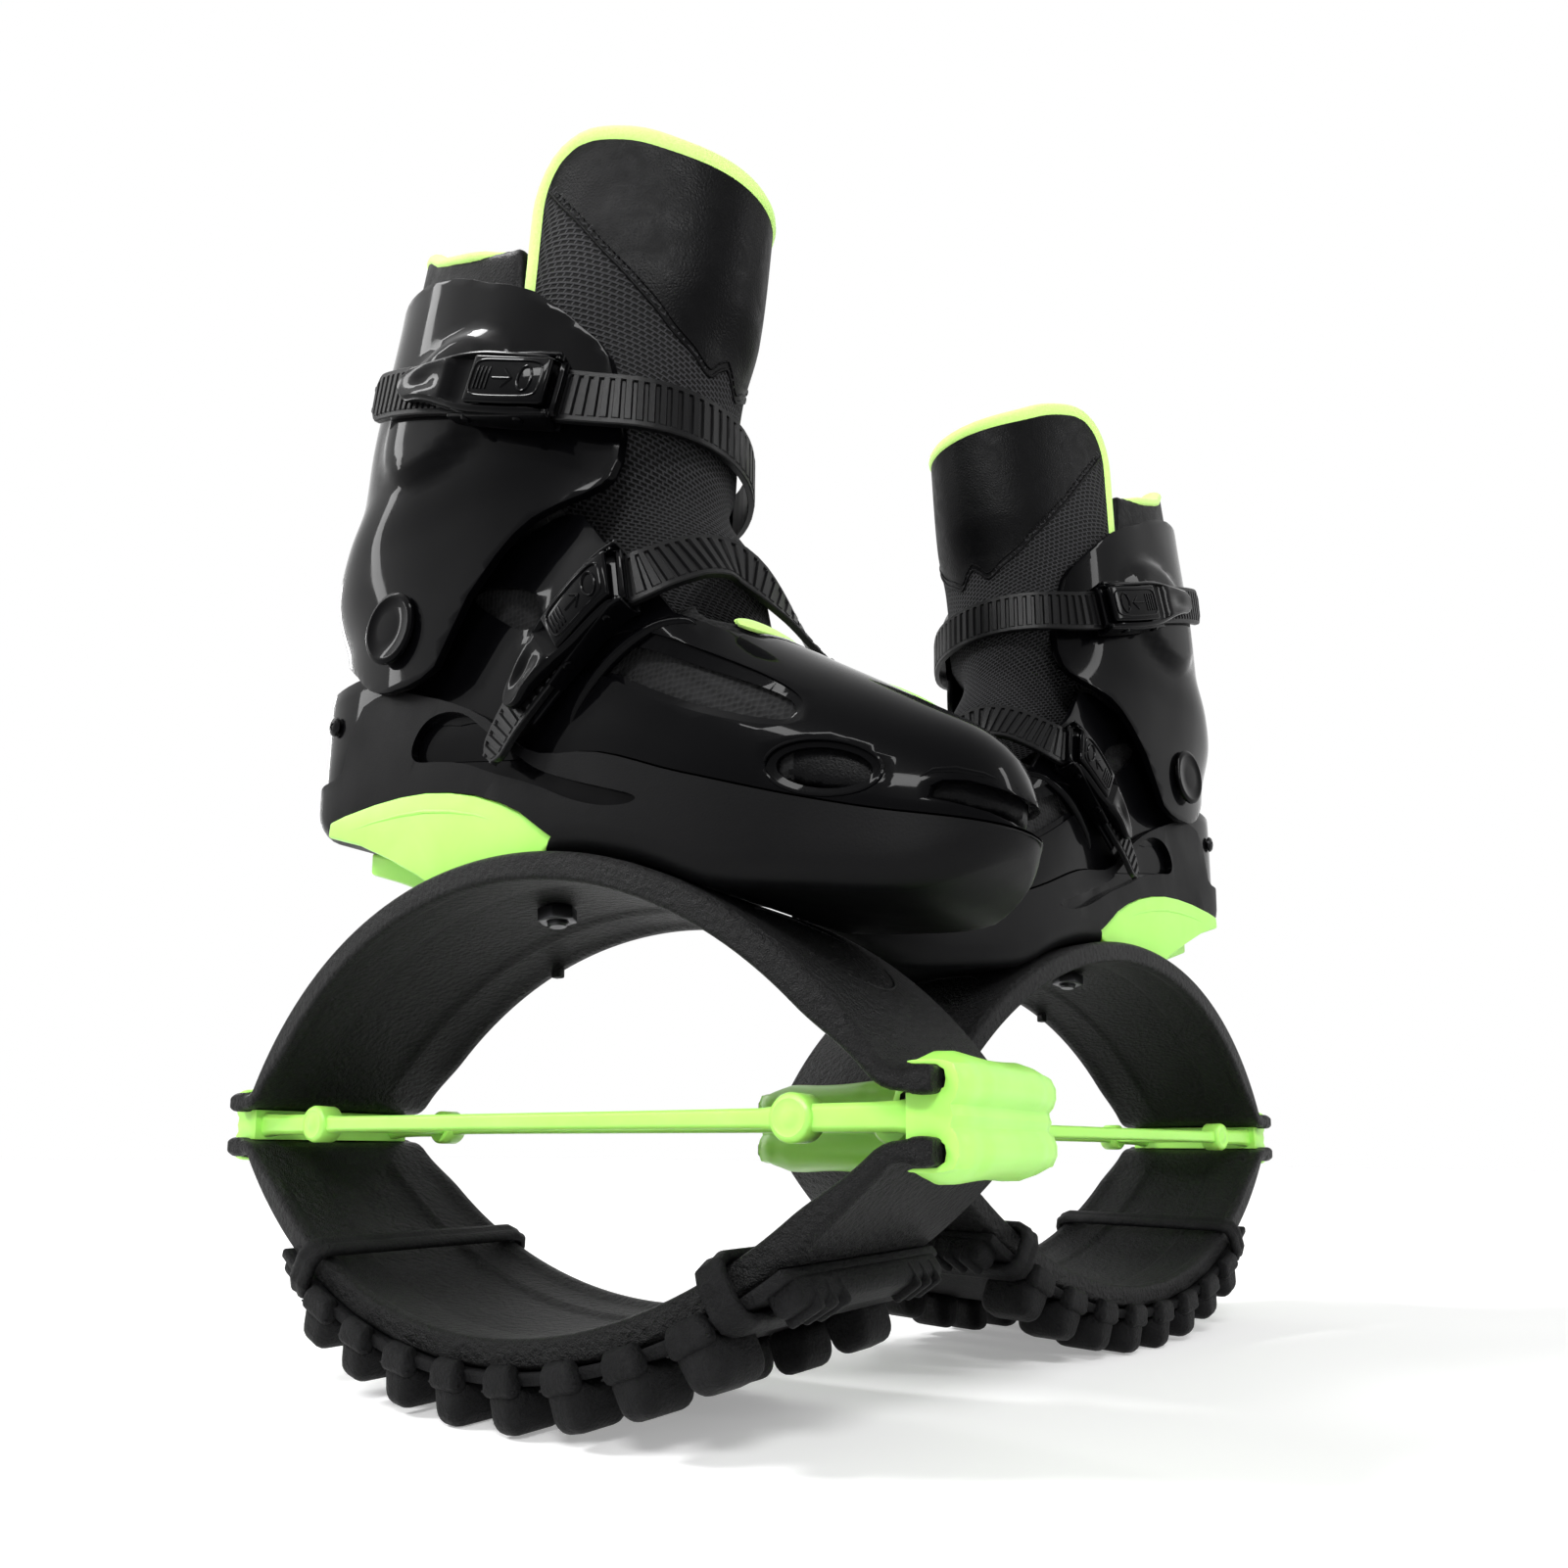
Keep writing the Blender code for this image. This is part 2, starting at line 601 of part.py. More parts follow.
def tread_block(angle, side, flat):
    """One block: it hugs the spring's edge and rounds over to its tip; a flat one meets the floor."""
    edge = lower_half_width(angle) + TREAD_OVERHANG
    outer = edge - TREAD_OVERHANG + BLOCK_OVERHANG
    inner = outer - BLOCK_WIDTH
    root = LEAF_THICKNESS / 2 + GAP + TREAD_SKIN - BLOCK_SINK
    tip = LEAF_THICKNESS / 2 + TREAD_DEPTH
    cheek = LEAF_THICKNESS / 2 - BLOCK_CHEEK
    clear = edge - TREAD_OVERHANG + GAP
    profile = [(inner, root), (clear, root), (clear, cheek), (outer - BLOCK_TAPER, cheek),
               (outer, cheek + BLOCK_TAPER), (outer, tip - BLOCK_CORNER),
               (outer - BLOCK_CORNER / 2, tip - GAP), (inner + BLOCK_CORNER, tip - GAP),
               (inner, tip - BLOCK_CORNER)]
    rings = []
    for run, shrink in ((-1, BLOCK_TAPER), (-0.55, 0), (0.55, 0), (1, BLOCK_TAPER)):
        ring = []
        for y, offset in profile:
            at_tip = offset > tip - 2 * GAP
            y -= shrink if y > clear + GAP else 0
            offset -= shrink if offset > root else 0
            x, z = lower_point(angle, offset)
            t = run * BLOCK_LENGTH / 2
            level = z + t * sin(angle)
            if at_tip and flat and not shrink:
                level = 0
            ring.append((x + t * cos(angle), side * y, level))
        rings.append(ring)
    return loft(rings)


def end_pad(side):
    """The thick pad outside each collar."""
    outer_angle = lower_angle(TREAD_REACH)
    inner_angle = lower_angle(TREAD_REACH - PAD_LENGTH)
    root = LEAF_THICKNESS / 2 + GAP + TREAD_SKIN - BLOCK_SINK
    rings = []
    for reach, depth in ((inner_angle, PAD_DEPTH), ((inner_angle + outer_angle) / 2, PAD_DEPTH),
                         (outer_angle - lower_angle(GAP), PAD_DEPTH - BLOCK_TAPER)):
        angle = side * reach + lower_angle(TREAD_SHIFT)
        half = lower_half_width(angle) - TREAD_OVERHANG
        ring = []
        for y, offset in ((-half, root), (half, root), (half, root + depth - BLOCK_TAPER),
                          (half - BLOCK_TAPER, root + depth), (BLOCK_TAPER - half, root + depth),
                          (-half, root + depth - BLOCK_TAPER)):
            x, z = lower_point(angle, offset)
            ring.append((x, y, z))
        rings.append(ring)
    return loft(rings)


def collar(side):
    """A rubber loop around the lower spring and the tread."""
    turn = side * lower_angle(COLLAR_PLACE) + lower_angle(TREAD_SHIFT)
    spread = lower_angle(COLLAR_LENGTH / 2)
    half = lower_half_width(abs(turn) - spread) + TREAD_OVERHANG + GAP
    top = -LEAF_THICKNESS / 2 - RIM_HEIGHT - GAP
    low = LEAF_THICKNESS / 2 + GAP + TREAD_SKIN + 2 * GAP
    inner = rounded_loop(half, top, low, COLLAR_CORNER / 3)
    outer = rounded_loop(half + COLLAR_THICKNESS, top - COLLAR_THICKNESS, low + COLLAR_THICKNESS,
                         COLLAR_CORNER)
    bevel = rounded_loop(half + COLLAR_THICKNESS * 0.8, top - COLLAR_THICKNESS * 0.8,
                         low + COLLAR_THICKNESS * 0.8, COLLAR_CORNER)
    x, z = lower_point(turn, 0)
    loops = []
    for loop, t in ((inner, -1), (bevel, -1), (outer, -0.6), (outer, 0.6), (bevel, 1), (inner, 1)):
        run = t * COLLAR_LENGTH / 2
        loops.append([(x + n * sin(turn) + run * cos(turn), y,
                       z - n * cos(turn) + run * sin(turn)) for y, n in loop])
    return ring_tube(loops)


def rounded_loop(half, top, low, corner):
    """A rectangle with cut corners as (y, offset) points."""
    return [(-half + corner, top), (half - corner, top), (half, top + corner),
            (half, low - corner), (half - corner, low), (-half + corner, low),
            (-half, low - corner), (-half, top + corner)]


def ring_tube(loops):
    """A closed band: loops joined in order and the last joined to the first."""
    count = len(loops[0])
    verts = [point for loop in loops for point in loop]
    faces = []
    for level in range(len(loops)):
        low, high = level * count, (level + 1) % len(loops) * count
        for i in range(count):
            j = (i + 1) % count
            faces.append((low + i, low + j, high + j, high + i))
    return solid(verts, faces)


# Tension spring

def tension_spring():
    """Two bars joined by rungs with round knobs, and a head at each end."""
    parts = [moved(head(), Matrix.Scale(-1, 4, (1, 0, 0)))]
    parts[0].flip_normals()
    for side in (-1, 1):
        bar_middle = side * (BAR_SPREAD / 2)
        parts.append(prism(bar_outline(), bar_middle - BAR_WIDTH / 2, bar_middle + BAR_WIDTH / 2))
    for end in (-1, 1):
        rung = end * RUNG_PLACE
        parts.append(prism([(rung - RUNG_LENGTH / 2, -BAR_THIN / 2 + GAP),
                            (rung + RUNG_LENGTH / 2, -BAR_THIN / 2 + GAP),
                            (rung + RUNG_LENGTH / 2, BAR_THIN / 2 - GAP),
                            (rung - RUNG_LENGTH / 2, BAR_THIN / 2 - GAP)],
                           -BAR_SPREAD / 2, BAR_SPREAD / 2))
        for side in (-1, 1):
            knob = turned([(KNOB_DIAMETER / 2, -KNOB_WIDTH / 2), (KNOB_DIAMETER / 2, KNOB_WIDTH / 2)],
                          14)
            parts.append(moved(knob, aimed((rung, side * BAR_SPREAD / 2, 0), (0, side, 0))))
    return moved(joined(head(), *parts), Matrix.Translation((0, 0, WAIST)))


def bar_outline():
    """Side outline of a bar: thin between the knobs, thicker outside, flared at the heads."""
    reach = RING_LENGTH / 2 - LIP_CLEAR
    flare = LIP_GAP / 2 - LIP_CLEAR - GAP
    upper = [(RUNG_PLACE, BAR_THIN / 2), (RUNG_PLACE + RUNG_LENGTH, BAR_THICK / 2),
             (reach - 2 * HEAD_LAP, BAR_THICK / 2), (reach - HEAD_LAP, flare),
             (reach, flare)]
    right = upper + [(x, -z) for x, z in reversed(upper)]
    return right + [(-x, -z) for x, z in right]


def head():
    """The toe-end head, cut to the lips: its notches hold the lips of both springs."""
    lip = RING_LENGTH / 2 + LIP_CLEAR
    low, high = LIP_GAP / 2 - LIP_CLEAR, LIP_GAP / 2 + LEAF_THICKNESS + LIP_CLEAR
    half = HEAD_HEIGHT / 2
    out = lip + HEAD_WALL
    upper = [(lip - HEAD_LAP, low), (lip, low), (lip, high), (lip - HEAD_LAP, high),
             (lip - HEAD_LAP - HEAD_TIP / 2, high + HEAD_TIP / 2),
             (lip - HEAD_LAP, half), (lip - HEAD_TIP, half), (out - HEAD_WALL / 2, half - HEAD_TIP),
             (out, half * 0.55), (out, half * 0.25), (out - HEAD_WAIST, 0)]
    outline = upper + [(x, -z) for x, z in reversed(upper[:-1])]
    return prism(outline, -HEAD_WIDTH / 2, HEAD_WIDTH / 2)


# Boot volumes

def plan_ring(back, front, half_width, level, heel_power, toe_power):
    """A closed plan outline; half_width and level are functions of x."""
    side = []
    for i in range(PLAN_STEPS + 1):
        share = (1 - cos(pi * i / PLAN_STEPS)) / 2
        x = back + share * (front - back)
        power = heel_power if share < 0.5 else toe_power
        round_off = sqrt(max(0, 1 - abs(1 - 2 * share) ** power))
        side.append((x, half_width(x) * round_off, level(x)))
    ends = (0, PLAN_STEPS)
    left = [(x, 0 if i in ends else y, z) for i, (x, y, z) in enumerate(side)]
    return left + [(x, -y, z) for x, y, z in reversed(left[1:-1])]


def floor_height(x):
    return height(smooth(FLOOR_SHARES, share_at(x)))


def bottom_height(x):
    """Underside of the sole, which sits in a saddle on the ring."""
    return max(height(smooth(BOTTOM_SHARES, share_at(x))), ring_seat(x))


def foot_dome(inset, crown=None, grow=0.0, levels=DOME_LEVEL_SHARES):
    """The foot shell's volume, inset all round; crown lowers its top at the ankle."""
    rings = []
    for level_share in levels:
        narrow = (1 - level_share ** DOME_POWER) ** (1 / DOME_POWER)

        def half(x):
            width = HALF_WIDTH * smooth(SHELL_WIDTH_SHARES, share_at(x)) - inset + grow
            return width * narrow

        def level(x):
            low = floor_height(x) + inset - grow
            high = height(smooth(RIDGE_SHARES, share_at(x)))
            if crown is not None:
                high = min(high, crown)
            return low + level_share * (max(high - inset + grow, low + LOOSE) - low)

        rings.append(plan_ring(-HEEL_REACH + inset - grow, BOOT_LENGTH - HEEL_REACH - inset + grow,
                               half, level, HEEL_POWER, TOE_POWER))
    return loft(rings, strip_caps=True)


def side_points(shares):
    return [(along(s), height(h)) for s, h in shares]


def ellipse_cutter(share, length, tall, tilt):
    """An oval hole right across the shoe."""
    cx, cz = along(share[0]), height(share[1])
    lean = radians(tilt)
    outline = []
    for i in range(16):
        u, w = length / 2 * cos(pi * i / 8), tall / 2 * sin(pi * i / 8)
        outline.append((cx + u * cos(lean) - w * sin(lean), cz + u * sin(lean) + w * cos(lean)))
    return prism(outline, -BOOT_WIDTH, BOOT_WIDTH)


def grown(outline, amount):
    """An anticlockwise side outline with every side moved outwards."""
    moved_points = []
    for i, here in enumerate(outline):
        before = Vector(here) - Vector(outline[i - 1])
        after = Vector(outline[(i + 1) % len(outline)]) - Vector(here)
        first = Vector((before.y, -before.x)).normalized()
        second = Vector((after.y, -after.x)).normalized()
        shift = (first + second) * (amount / (1 + first.dot(second)))
        moved_points.append((here[0] + shift.x, here[1] + shift.y))
    return moved_points


def hole_across(share, diameter):
    """A round hole across the shoe."""
    return ellipse_cutter(share, diameter, diameter, 0)


def foot_shell():
    """The glossy foot shell, with its throat, windows, toe holes and toe slit."""
    walls = cut(foot_dome(0), foot_dome(SHELL_WALL))
    slit_x, slit_z = along(TOE_SLIT_SHARE[0]), height(TOE_SLIT_SHARE[1])
    slit = prism([(slit_x - TOE_SLIT_LENGTH / 2, slit_z),
                  (slit_x - TOE_SLIT_LENGTH / 2 + TOE_SLIT_HEIGHT, slit_z - TOE_SLIT_HEIGHT / 2),
                  (slit_x + OVERRUN, slit_z - TOE_SLIT_HEIGHT),
                  (slit_x + OVERRUN, slit_z + TOE_SLIT_HEIGHT / 2),
                  (slit_x - TOE_SLIT_LENGTH / 2 + TOE_SLIT_HEIGHT, slit_z + TOE_SLIT_HEIGHT / 2)],
                 -BOOT_WIDTH, BOOT_WIDTH)
    kept = kept_inside(walls, prism(side_points(SHELL_TOP_SHARES), -BOOT_WIDTH, BOOT_WIDTH))
    return cut(kept, ellipse_cutter(WINDOW_SHARE, WINDOW_LENGTH, WINDOW_HEIGHT, WINDOW_TILT),
               ellipse_cutter(TOE_HOLE_SHARE, TOE_HOLE_LENGTH, TOE_HOLE_HEIGHT, TOE_HOLE_TILT),
               ellipse_cutter(ANKLE_HOLE_SHARE, ANKLE_HOLE_LENGTH, ANKLE_HOLE_HEIGHT,
                              ANKLE_HOLE_TILT),
               hole_across(PIVOT_SHARE, PIVOT_SHANK + 2 * GAP), slit,
               *[screw_hole(side) for side in (-1, 1)])


def sole_base():
    """The matte sole under the boot: a tray round the shell with a saddle for the ring."""
    def outer(shrink):
        return lambda x: HALF_WIDTH * smooth(SOLE_WIDTH_SHARES, share_at(x)) - shrink

    def lift(rise):
        return lambda x: min(bottom_height(x) + rise, top(x) - GAP)

    def top(x):
        return floor_height(x) - 2 * GAP + BOOT_HEIGHT * smooth(SEAM_SHARES, share_at(x))

    rings = []
    for shrink, level in ((SOLE_UNDERCUT, bottom_height), (SOLE_UNDERCUT / 4, lift(SOLE_CORNER / 2)),
                          (0, lift(SOLE_CORNER)), (0, top)):
        rings.append(plan_ring(-HEEL_REACH + shrink, BOOT_LENGTH - HEEL_REACH - shrink / 2,
                               outer(shrink), level, HEEL_POWER, TOE_POWER))
    tray = loft(rings, strip_caps=True)
    insert = grown(insert_outline(), GAP)
    face = INSERT_FACE + OVERRUN
    root = INSERT_FACE - INSERT_WIDTH - GAP
    shaft = turned([(BOLT_DIAMETER / 2 + GAP, -4 * OVERRUN), (BOLT_DIAMETER / 2 + GAP, OVERRUN)])
    counter = turned([(BOLT_HEAD / 2 + GAP, 0), (BOLT_HEAD / 2 + GAP, 4 * OVERRUN)])
    return cut(tray, foot_dome(0, grow=GAP), prism(insert, root, face), prism(insert, -face, -root),
               moved(shaft, bolt_frame(RING_TOP)), moved(counter, bolt_frame(bolt_seat())),
               recess(1), recess(-1))


def bolt_seat():
    """Height of the bolt head's underside in the sole."""
    return RING_TOP + SOLE_FLOOR


def recess(side):
    """The shallow recess in the sole's side below the ankle."""
    cx, cz = along(RECESS_SHARE[0]), height(RECESS_SHARE[1])
    depth = HALF_WIDTH * smooth(SOLE_WIDTH_SHARES, RECESS_SHARE[0]) - RECESS_DEPTH
    outline = [(cx + u * RECESS_LENGTH, cz + w * RECESS_HEIGHT) for u, w in RECESS_SHARES]
    return prism(outline, side * depth, side * (depth + OVERRUN))


def insert_outline():
    """Side outline of a lime heel insert; it wedges between the sole and the ring."""
    seat = [(along(s), ring_seat(along(s))) for s in INSERT_SEAT_SHARES]
    return side_points(INSERT_LOW_SHARES) + seat + side_points(reversed(INSERT_TOP_SHARES))


def heel_insert(side):
    return prism(insert_outline(), side * (INSERT_FACE - INSERT_WIDTH), side * INSERT_FACE)


def heel_plug():
    """The lime block under the middle of the heel."""
    low = side_points(PLUG_LOW_SHARES)
    seat = [(along(s), ring_seat(along(s))) for s in PLUG_SEAT_SHARES]
    top = [(along(s), bottom_height(along(s)) - PLUG_TOP_CLEAR) for s in PLUG_TOP_SHARES]
    return prism(low + seat + top, -PLUG_WIDTH / 2, PLUG_WIDTH / 2)


# Shaft volumes: cuff, liner and tongue

def shaft_ring(level_share, inset, width_scale=1.0, level=None):
    """A plan ring of the shaft at one height share, inset all round."""
    back = along(smooth(column(SHAFT_SHARES, 1), level_share)) + inset
    front = along(smooth(column(SHAFT_SHARES, 2), level_share)) - inset
    half = HALF_WIDTH * smooth(column(SHAFT_SHARES, 3), level_share) * width_scale - inset
    z = level or (lambda x: height(level_share))
    return plan_ring(back, front, lambda x: half, z, SHAFT_POWER, FRONT_POWER)


def cuff():
    """The glossy cuff: a tube round the shaft, kept only where the real cuff has material."""
    outer = loft([shaft_ring(h, 0) for h in CUFF_LEVEL_SHARES], strip_caps=True)
    levels = (CUFF_LEVEL_SHARES[0] - 0.05, *CUFF_LEVEL_SHARES[1:-1], CUFF_LEVEL_SHARES[-1] + 0.05)
    inner = loft([shaft_ring(h, CUFF_WALL) for h in levels], strip_caps=True)
    walls = cut(outer, inner)
    kept = kept_inside(walls, prism(side_points(CUFF_SIDE_SHARES), -BOOT_WIDTH, BOOT_WIDTH))
    return cut(kept, hole_across(PIVOT_SHARE, PIVOT_SHANK + 2 * GAP),
               strap_hole(top_path, TOP_RIVET_SHARE))


def collar_height(x):
    return height(smooth(COLLAR_TOP_SHARES, share_at(x)))


def liner():
    """The padded inner boot: foot and shaft in one piece, open at the top and the throat."""
    skin = CUFF_WALL + LOOSE
    crown = height(LINER_CROWN_SHARE)

    def shaft(inset, top_level, low_share):
        rings = []
        for h in (low_share, *LINER_LEVEL_SHARES[1:]):
            rings.append(shaft_ring(h, inset, smooth(LINER_NARROW_SHARES, h)))
        rings.append(shaft_ring(LINER_TOP_SHARE, inset, 1, top_level))
        return loft(rings, strip_caps=True)

    outer = joined(foot_dome(SHELL_WALL + LOOSE, crown, levels=LINER_DOME_SHARES),
                   shaft(skin, collar_height, LINER_LEVEL_SHARES[0]))
    inner_foot = foot_dome(SHELL_WALL + LOOSE + LINER_WALL, crown + OVERRUN,
                           levels=LINER_DOME_SHARES)
    inner_shaft = shaft(skin + LINER_WALL, lambda x: collar_height(x) + OVERRUN,
                        LINER_LEVEL_SHARES[0] - 0.03)
    back, front = (along(s) for s in THROAT_SPAN_SHARES)
    low, shelf, tall = (height(h) for h in (THROAT_LEVEL_SHARE, SHELF_SHARE, TALL_SHARE))
    throat = prism([(back, low), (front, low), (front, tall), (back, tall)],
                   -THROAT_WIDTH / 2, THROAT_WIDTH / 2)
    face = prism([(back, shelf), (along(1), shelf), (along(1), tall), (back, tall)],
                 -BOOT_WIDTH, BOOT_WIDTH)
    return cut(outer, inner_foot, inner_shaft, throat, face)


def tongue_edge(front, half, edge, level):
    """Points round the front of the tongue from the outer edge to the inner edge."""
    middle = along(TONGUE_HEART_SHARE)
    points = []
    for i in range(TONGUE_STEPS + 1):
        x = edge + (front - edge) * sin(pi / 2 * i / TONGUE_STEPS)
        reach = max(0, (x - middle) / (front - middle))
        y = 0 if i == TONGUE_STEPS else half * sqrt(max(0, 1 - reach ** SHAFT_POWER))
        points.append((x, -y, level((x - edge) / (front - edge))))
    return points + [(x, -y, z) for x, y, z in reversed(points[:-1])]


def tongue():
    """The padded tongue, curved round the shin and rising above the liner."""
    rings = []
    rows = [(*row, None) for row in TONGUE_SHARES] + [(*TONGUE_RIM_SHARES, TONGUE_TOP_SHARES)]
    for h, f, w, e, top in rows:
        front, half, edge = along(f), HALF_WIDTH * w, along(e)

        def level(share):
            return height(smooth(top, share)) if top else height(h)

        outer = tongue_edge(front, half, edge, level)
        inner = tongue_edge(front - TONGUE_WALL, half - TONGUE_WALL, edge, level)
        rings.append(outer + list(reversed(inner)))
    return lofted_band(rings)


def lofted_band(rings):
    """Rings made of an outer run and the inner run reversed, with ends filled in strips."""
    count = len(rings[0])
    verts = [point for ring in rings for point in ring]
    faces = []
    for level in range(len(rings) - 1):
        low, high = level * count, (level + 1) * count
        for i in range(count):
            j = (i + 1) % count
            faces.append((low + i, low + j, high + j, high + i))
    for start in (0, (len(rings) - 1) * count):
        for i in range(count // 2 - 1):
            faces.append((start + i, start + i + 1, start + count - i - 2, start + count - i - 1))
    return solid(verts, faces)


# Straps and buckles follow a path: a place, an outward direction and a run direction

def top_spot(turn_share):
    """A point of the top strap's path round the cuff, which slopes down to the front."""
    back, front, half = (smooth(column(SHAFT_SHARES, i), SHAFT_MIDDLE_SHARE) for i in (1, 2, 3))
    start, end = TOP_STRAP_SWEEP
    turn = radians(start + turn_share * (end - start))
    middle = along((back + front) / 2)
    reach = (front - back) / 2 * BOOT_LENGTH + GAP
    run = abs(cos(turn)) ** (2 / FRONT_POWER)
    x = middle + (reach * run if cos(turn) > 0 else -reach * run)
    y = (HALF_WIDTH * half + STRAP_CLEAR) * sqrt(max(0, 1 - run ** FRONT_POWER))
    level = height(smooth(TOP_STRAP_SHARES, share_at(x)))
    return Vector((x, y if sin(turn) > 0 else -y, level))


def instep_spot(share):
    """A point of the instep strap's path, a smooth curve through the route's points."""
    knots = [Vector((along(x), HALF_WIDTH * y, height(z))) for x, y, z in INSTEP_ROUTE_SHARES]
    t = share * (len(knots) - 1)
    k = min(int(t), len(knots) - 2)
    f = t - k
    before, after = knots[max(k - 1, 0)], knots[min(k + 2, len(knots) - 1)]
    a, b = knots[k], knots[k + 1]
    return 0.5 * (2 * a + (b - before) * f + (2 * before - 5 * a + 4 * b - after) * f * f
                  + (3 * a - before - 3 * b + after) * f * f * f)


def measured(spot):
    """Samples of a path with the share of its length reached at each."""
    points = [spot(i / SAMPLE_STEPS) for i in range(SAMPLE_STEPS + 1)]
    reached = [0.0]
    for a, b in zip(points, points[1:]):
        reached.append(reached[-1] + (b - a).length)
    return points, [r / reached[-1] for r in reached]


def path_point(samples, share):
    """The place and run direction at a share of a path's length."""
    points, reached = samples
    i = 0
    while i < len(points) - 2 and reached[i + 1] < share:
        i += 1
    t = (share - reached[i]) / (reached[i + 1] - reached[i])
    here = points[i].lerp(points[i + 1], min(max(t, 0), 1))
    run = points[min(i + 3, len(points) - 1)] - points[max(i - 2, 0)]
    return here, run.normalized()


TOP_SAMPLES = measured(top_spot)
INSTEP_SAMPLES = measured(instep_spot)


def top_path(share):
    """Place, outward direction and run direction on the top strap's path."""
    here, run = path_point(TOP_SAMPLES, share)
    return here, run.cross(Vector((0, 0, 1))).normalized(), run


def instep_path(share):
    """Place, outward direction and run direction on the instep strap's path."""
    here, run = path_point(INSTEP_SAMPLES, share)
    out = here - Vector((along(INSTEP_HEART_SHARE[0]), 0, height(INSTEP_HEART_SHARE[1])))
    sizes = (BOOT_LENGTH, HALF_WIDTH, BOOT_HEIGHT)
    out = Vector([o / (r * size) ** 2 for o, r, size in zip(out, INSTEP_SPREAD_SHARES, sizes)])
    out.normalize()
    return here, (out - out.dot(run) * run).normalized(), run


def framed(path, share):
    """Place, outward and sideways directions, straight between the path's even stations."""
    k = min(int(share * WRAP_STEPS), WRAP_STEPS - 1)
    t = share * WRAP_STEPS - k
    ends = []
    for station in (k, k + 1):
        here, out, run = path(station / WRAP_STEPS)
        ends.append((here, out, run.cross(out).normalized()))
    return [a.lerp(b, t) for a, b in zip(*ends)]


def wrap(path, span, low, high, width, flanged=False):
    """A curved plate along a path between two offsets; width is a function of the share."""
    rings = []
    inside = [k / WRAP_STEPS for k in range(1, WRAP_STEPS)]
    start, end = span
    edge = (end - start) / WRAP_STEPS
    for share in (start, *[s for s in inside if start + edge < s < end - edge], end):
        here, out, across = framed(path, share)
        half = width((share - start) / (end - start)) / 2
        section = [(-half, low), (half, low), (half, high), (-half, high)]
        if flanged:
            wall = BASE_THICKNESS
            section = [(-half, low), (half, low), (half, high), (half - wall, high),
                       (half - wall, low + wall), (wall - half, low + wall),
                       (wall - half, high), (-half, high)]
        rings.append([tuple(here + across * a + out * o) for a, o in section])
    return loft(rings)


def strap_hole(path, share):
    """A hole through a strap for the rivet at its fixed end."""
    here, out, run = path(share)
    reach = RIVET_SHANK / 2 + GAP
    return moved(turned([(reach, -OVERRUN / 2), (reach, OVERRUN / 2)], 12), aimed(here, out))


def strap_pieces(path, prefix, rivet_share, base_span, lever_span, tab_span):
    """The strap, the buckle base under it, the lever over it and the release tab."""
    lift = STRAP_THICKNESS + GAP
    strap = wrap(path, (0, 1), 0, STRAP_THICKNESS, lambda t: STRAP_WIDTH)
    strap = cut(strap, strap_hole(path, rivet_share))
    base_width = STRAP_WIDTH + 2 * (GAP + BASE_THICKNESS)
    base = wrap(path, base_span, -GAP - BASE_THICKNESS, lift, lambda t: base_width, flanged=True)
    ease = lift + GAP

    def lever_width(t):
        return LEVER_TAIL_WIDTH + (LEVER_WIDTH - LEVER_TAIL_WIDTH) * min(1, t * 2.2)

    lever = wrap(path, lever_span, ease, ease + LEVER_THICKNESS, lever_width)
    tab_low = ease + LEVER_THICKNESS + GAP
    tab = wrap(path, tab_span, tab_low, tab_low + TAB_THICKNESS, lambda t: TAB_WIDTH)
    lever_here, lever_out, lever_across = framed(path, lever_span[1])
    tab_here, tab_out, tab_across = framed(path, tab_span[1])
    lever_pin = lever_here + lever_out * (ease + LEVER_THICKNESS / 2)
    tab_pin = tab_here + tab_out * (tab_low + TAB_THICKNESS / 2)
    place(prefix + "_strap", strap, RUBBER)
    place(prefix + "_buckle_base", base, GLOSS_BLACK)
    place(prefix + "_buckle_lever", lever, GLOSS_BLACK, lever_pin)
    place(prefix + "_release_tab", tab, GLOSS_BLACK, tab_pin)


# Fasteners

def rivet(side):
    """The ankle pivot: a shank in the shell, a spacer ring and a wide head on the cuff."""
    shell = HALF_WIDTH * smooth(SHELL_WIDTH_SHARES, PIVOT_SHARE[0])
    cuff_half = HALF_WIDTH * smooth(column(SHAFT_SHARES, 3), PIVOT_SHARE[1])
    shank, spacer, cap = PIVOT_SHANK / 2, PIVOT_SPACER / 2, PIVOT_HEAD / 2
    root = shell - SHELL_WALL + GAP
    shoulder = shell + GAP
    collar_end = cuff_half - CUFF_WALL - 2 * LOOSE
    under = cuff_half + PIVOT_STAND_OFF
    stations = [(shank, root), (shank, shoulder), (spacer, shoulder), (spacer, collar_end),
                (shank, collar_end), (shank, under), (cap, under),
                (cap, under + PIVOT_HEAD_THICK / 2), (cap * 0.85, under + PIVOT_HEAD_THICK)]
    axis = (along(PIVOT_SHARE[0]), 0, height(PIVOT_SHARE[1]))
    return moved(turned(stations, 16), aimed(axis, (0, side, 0)))


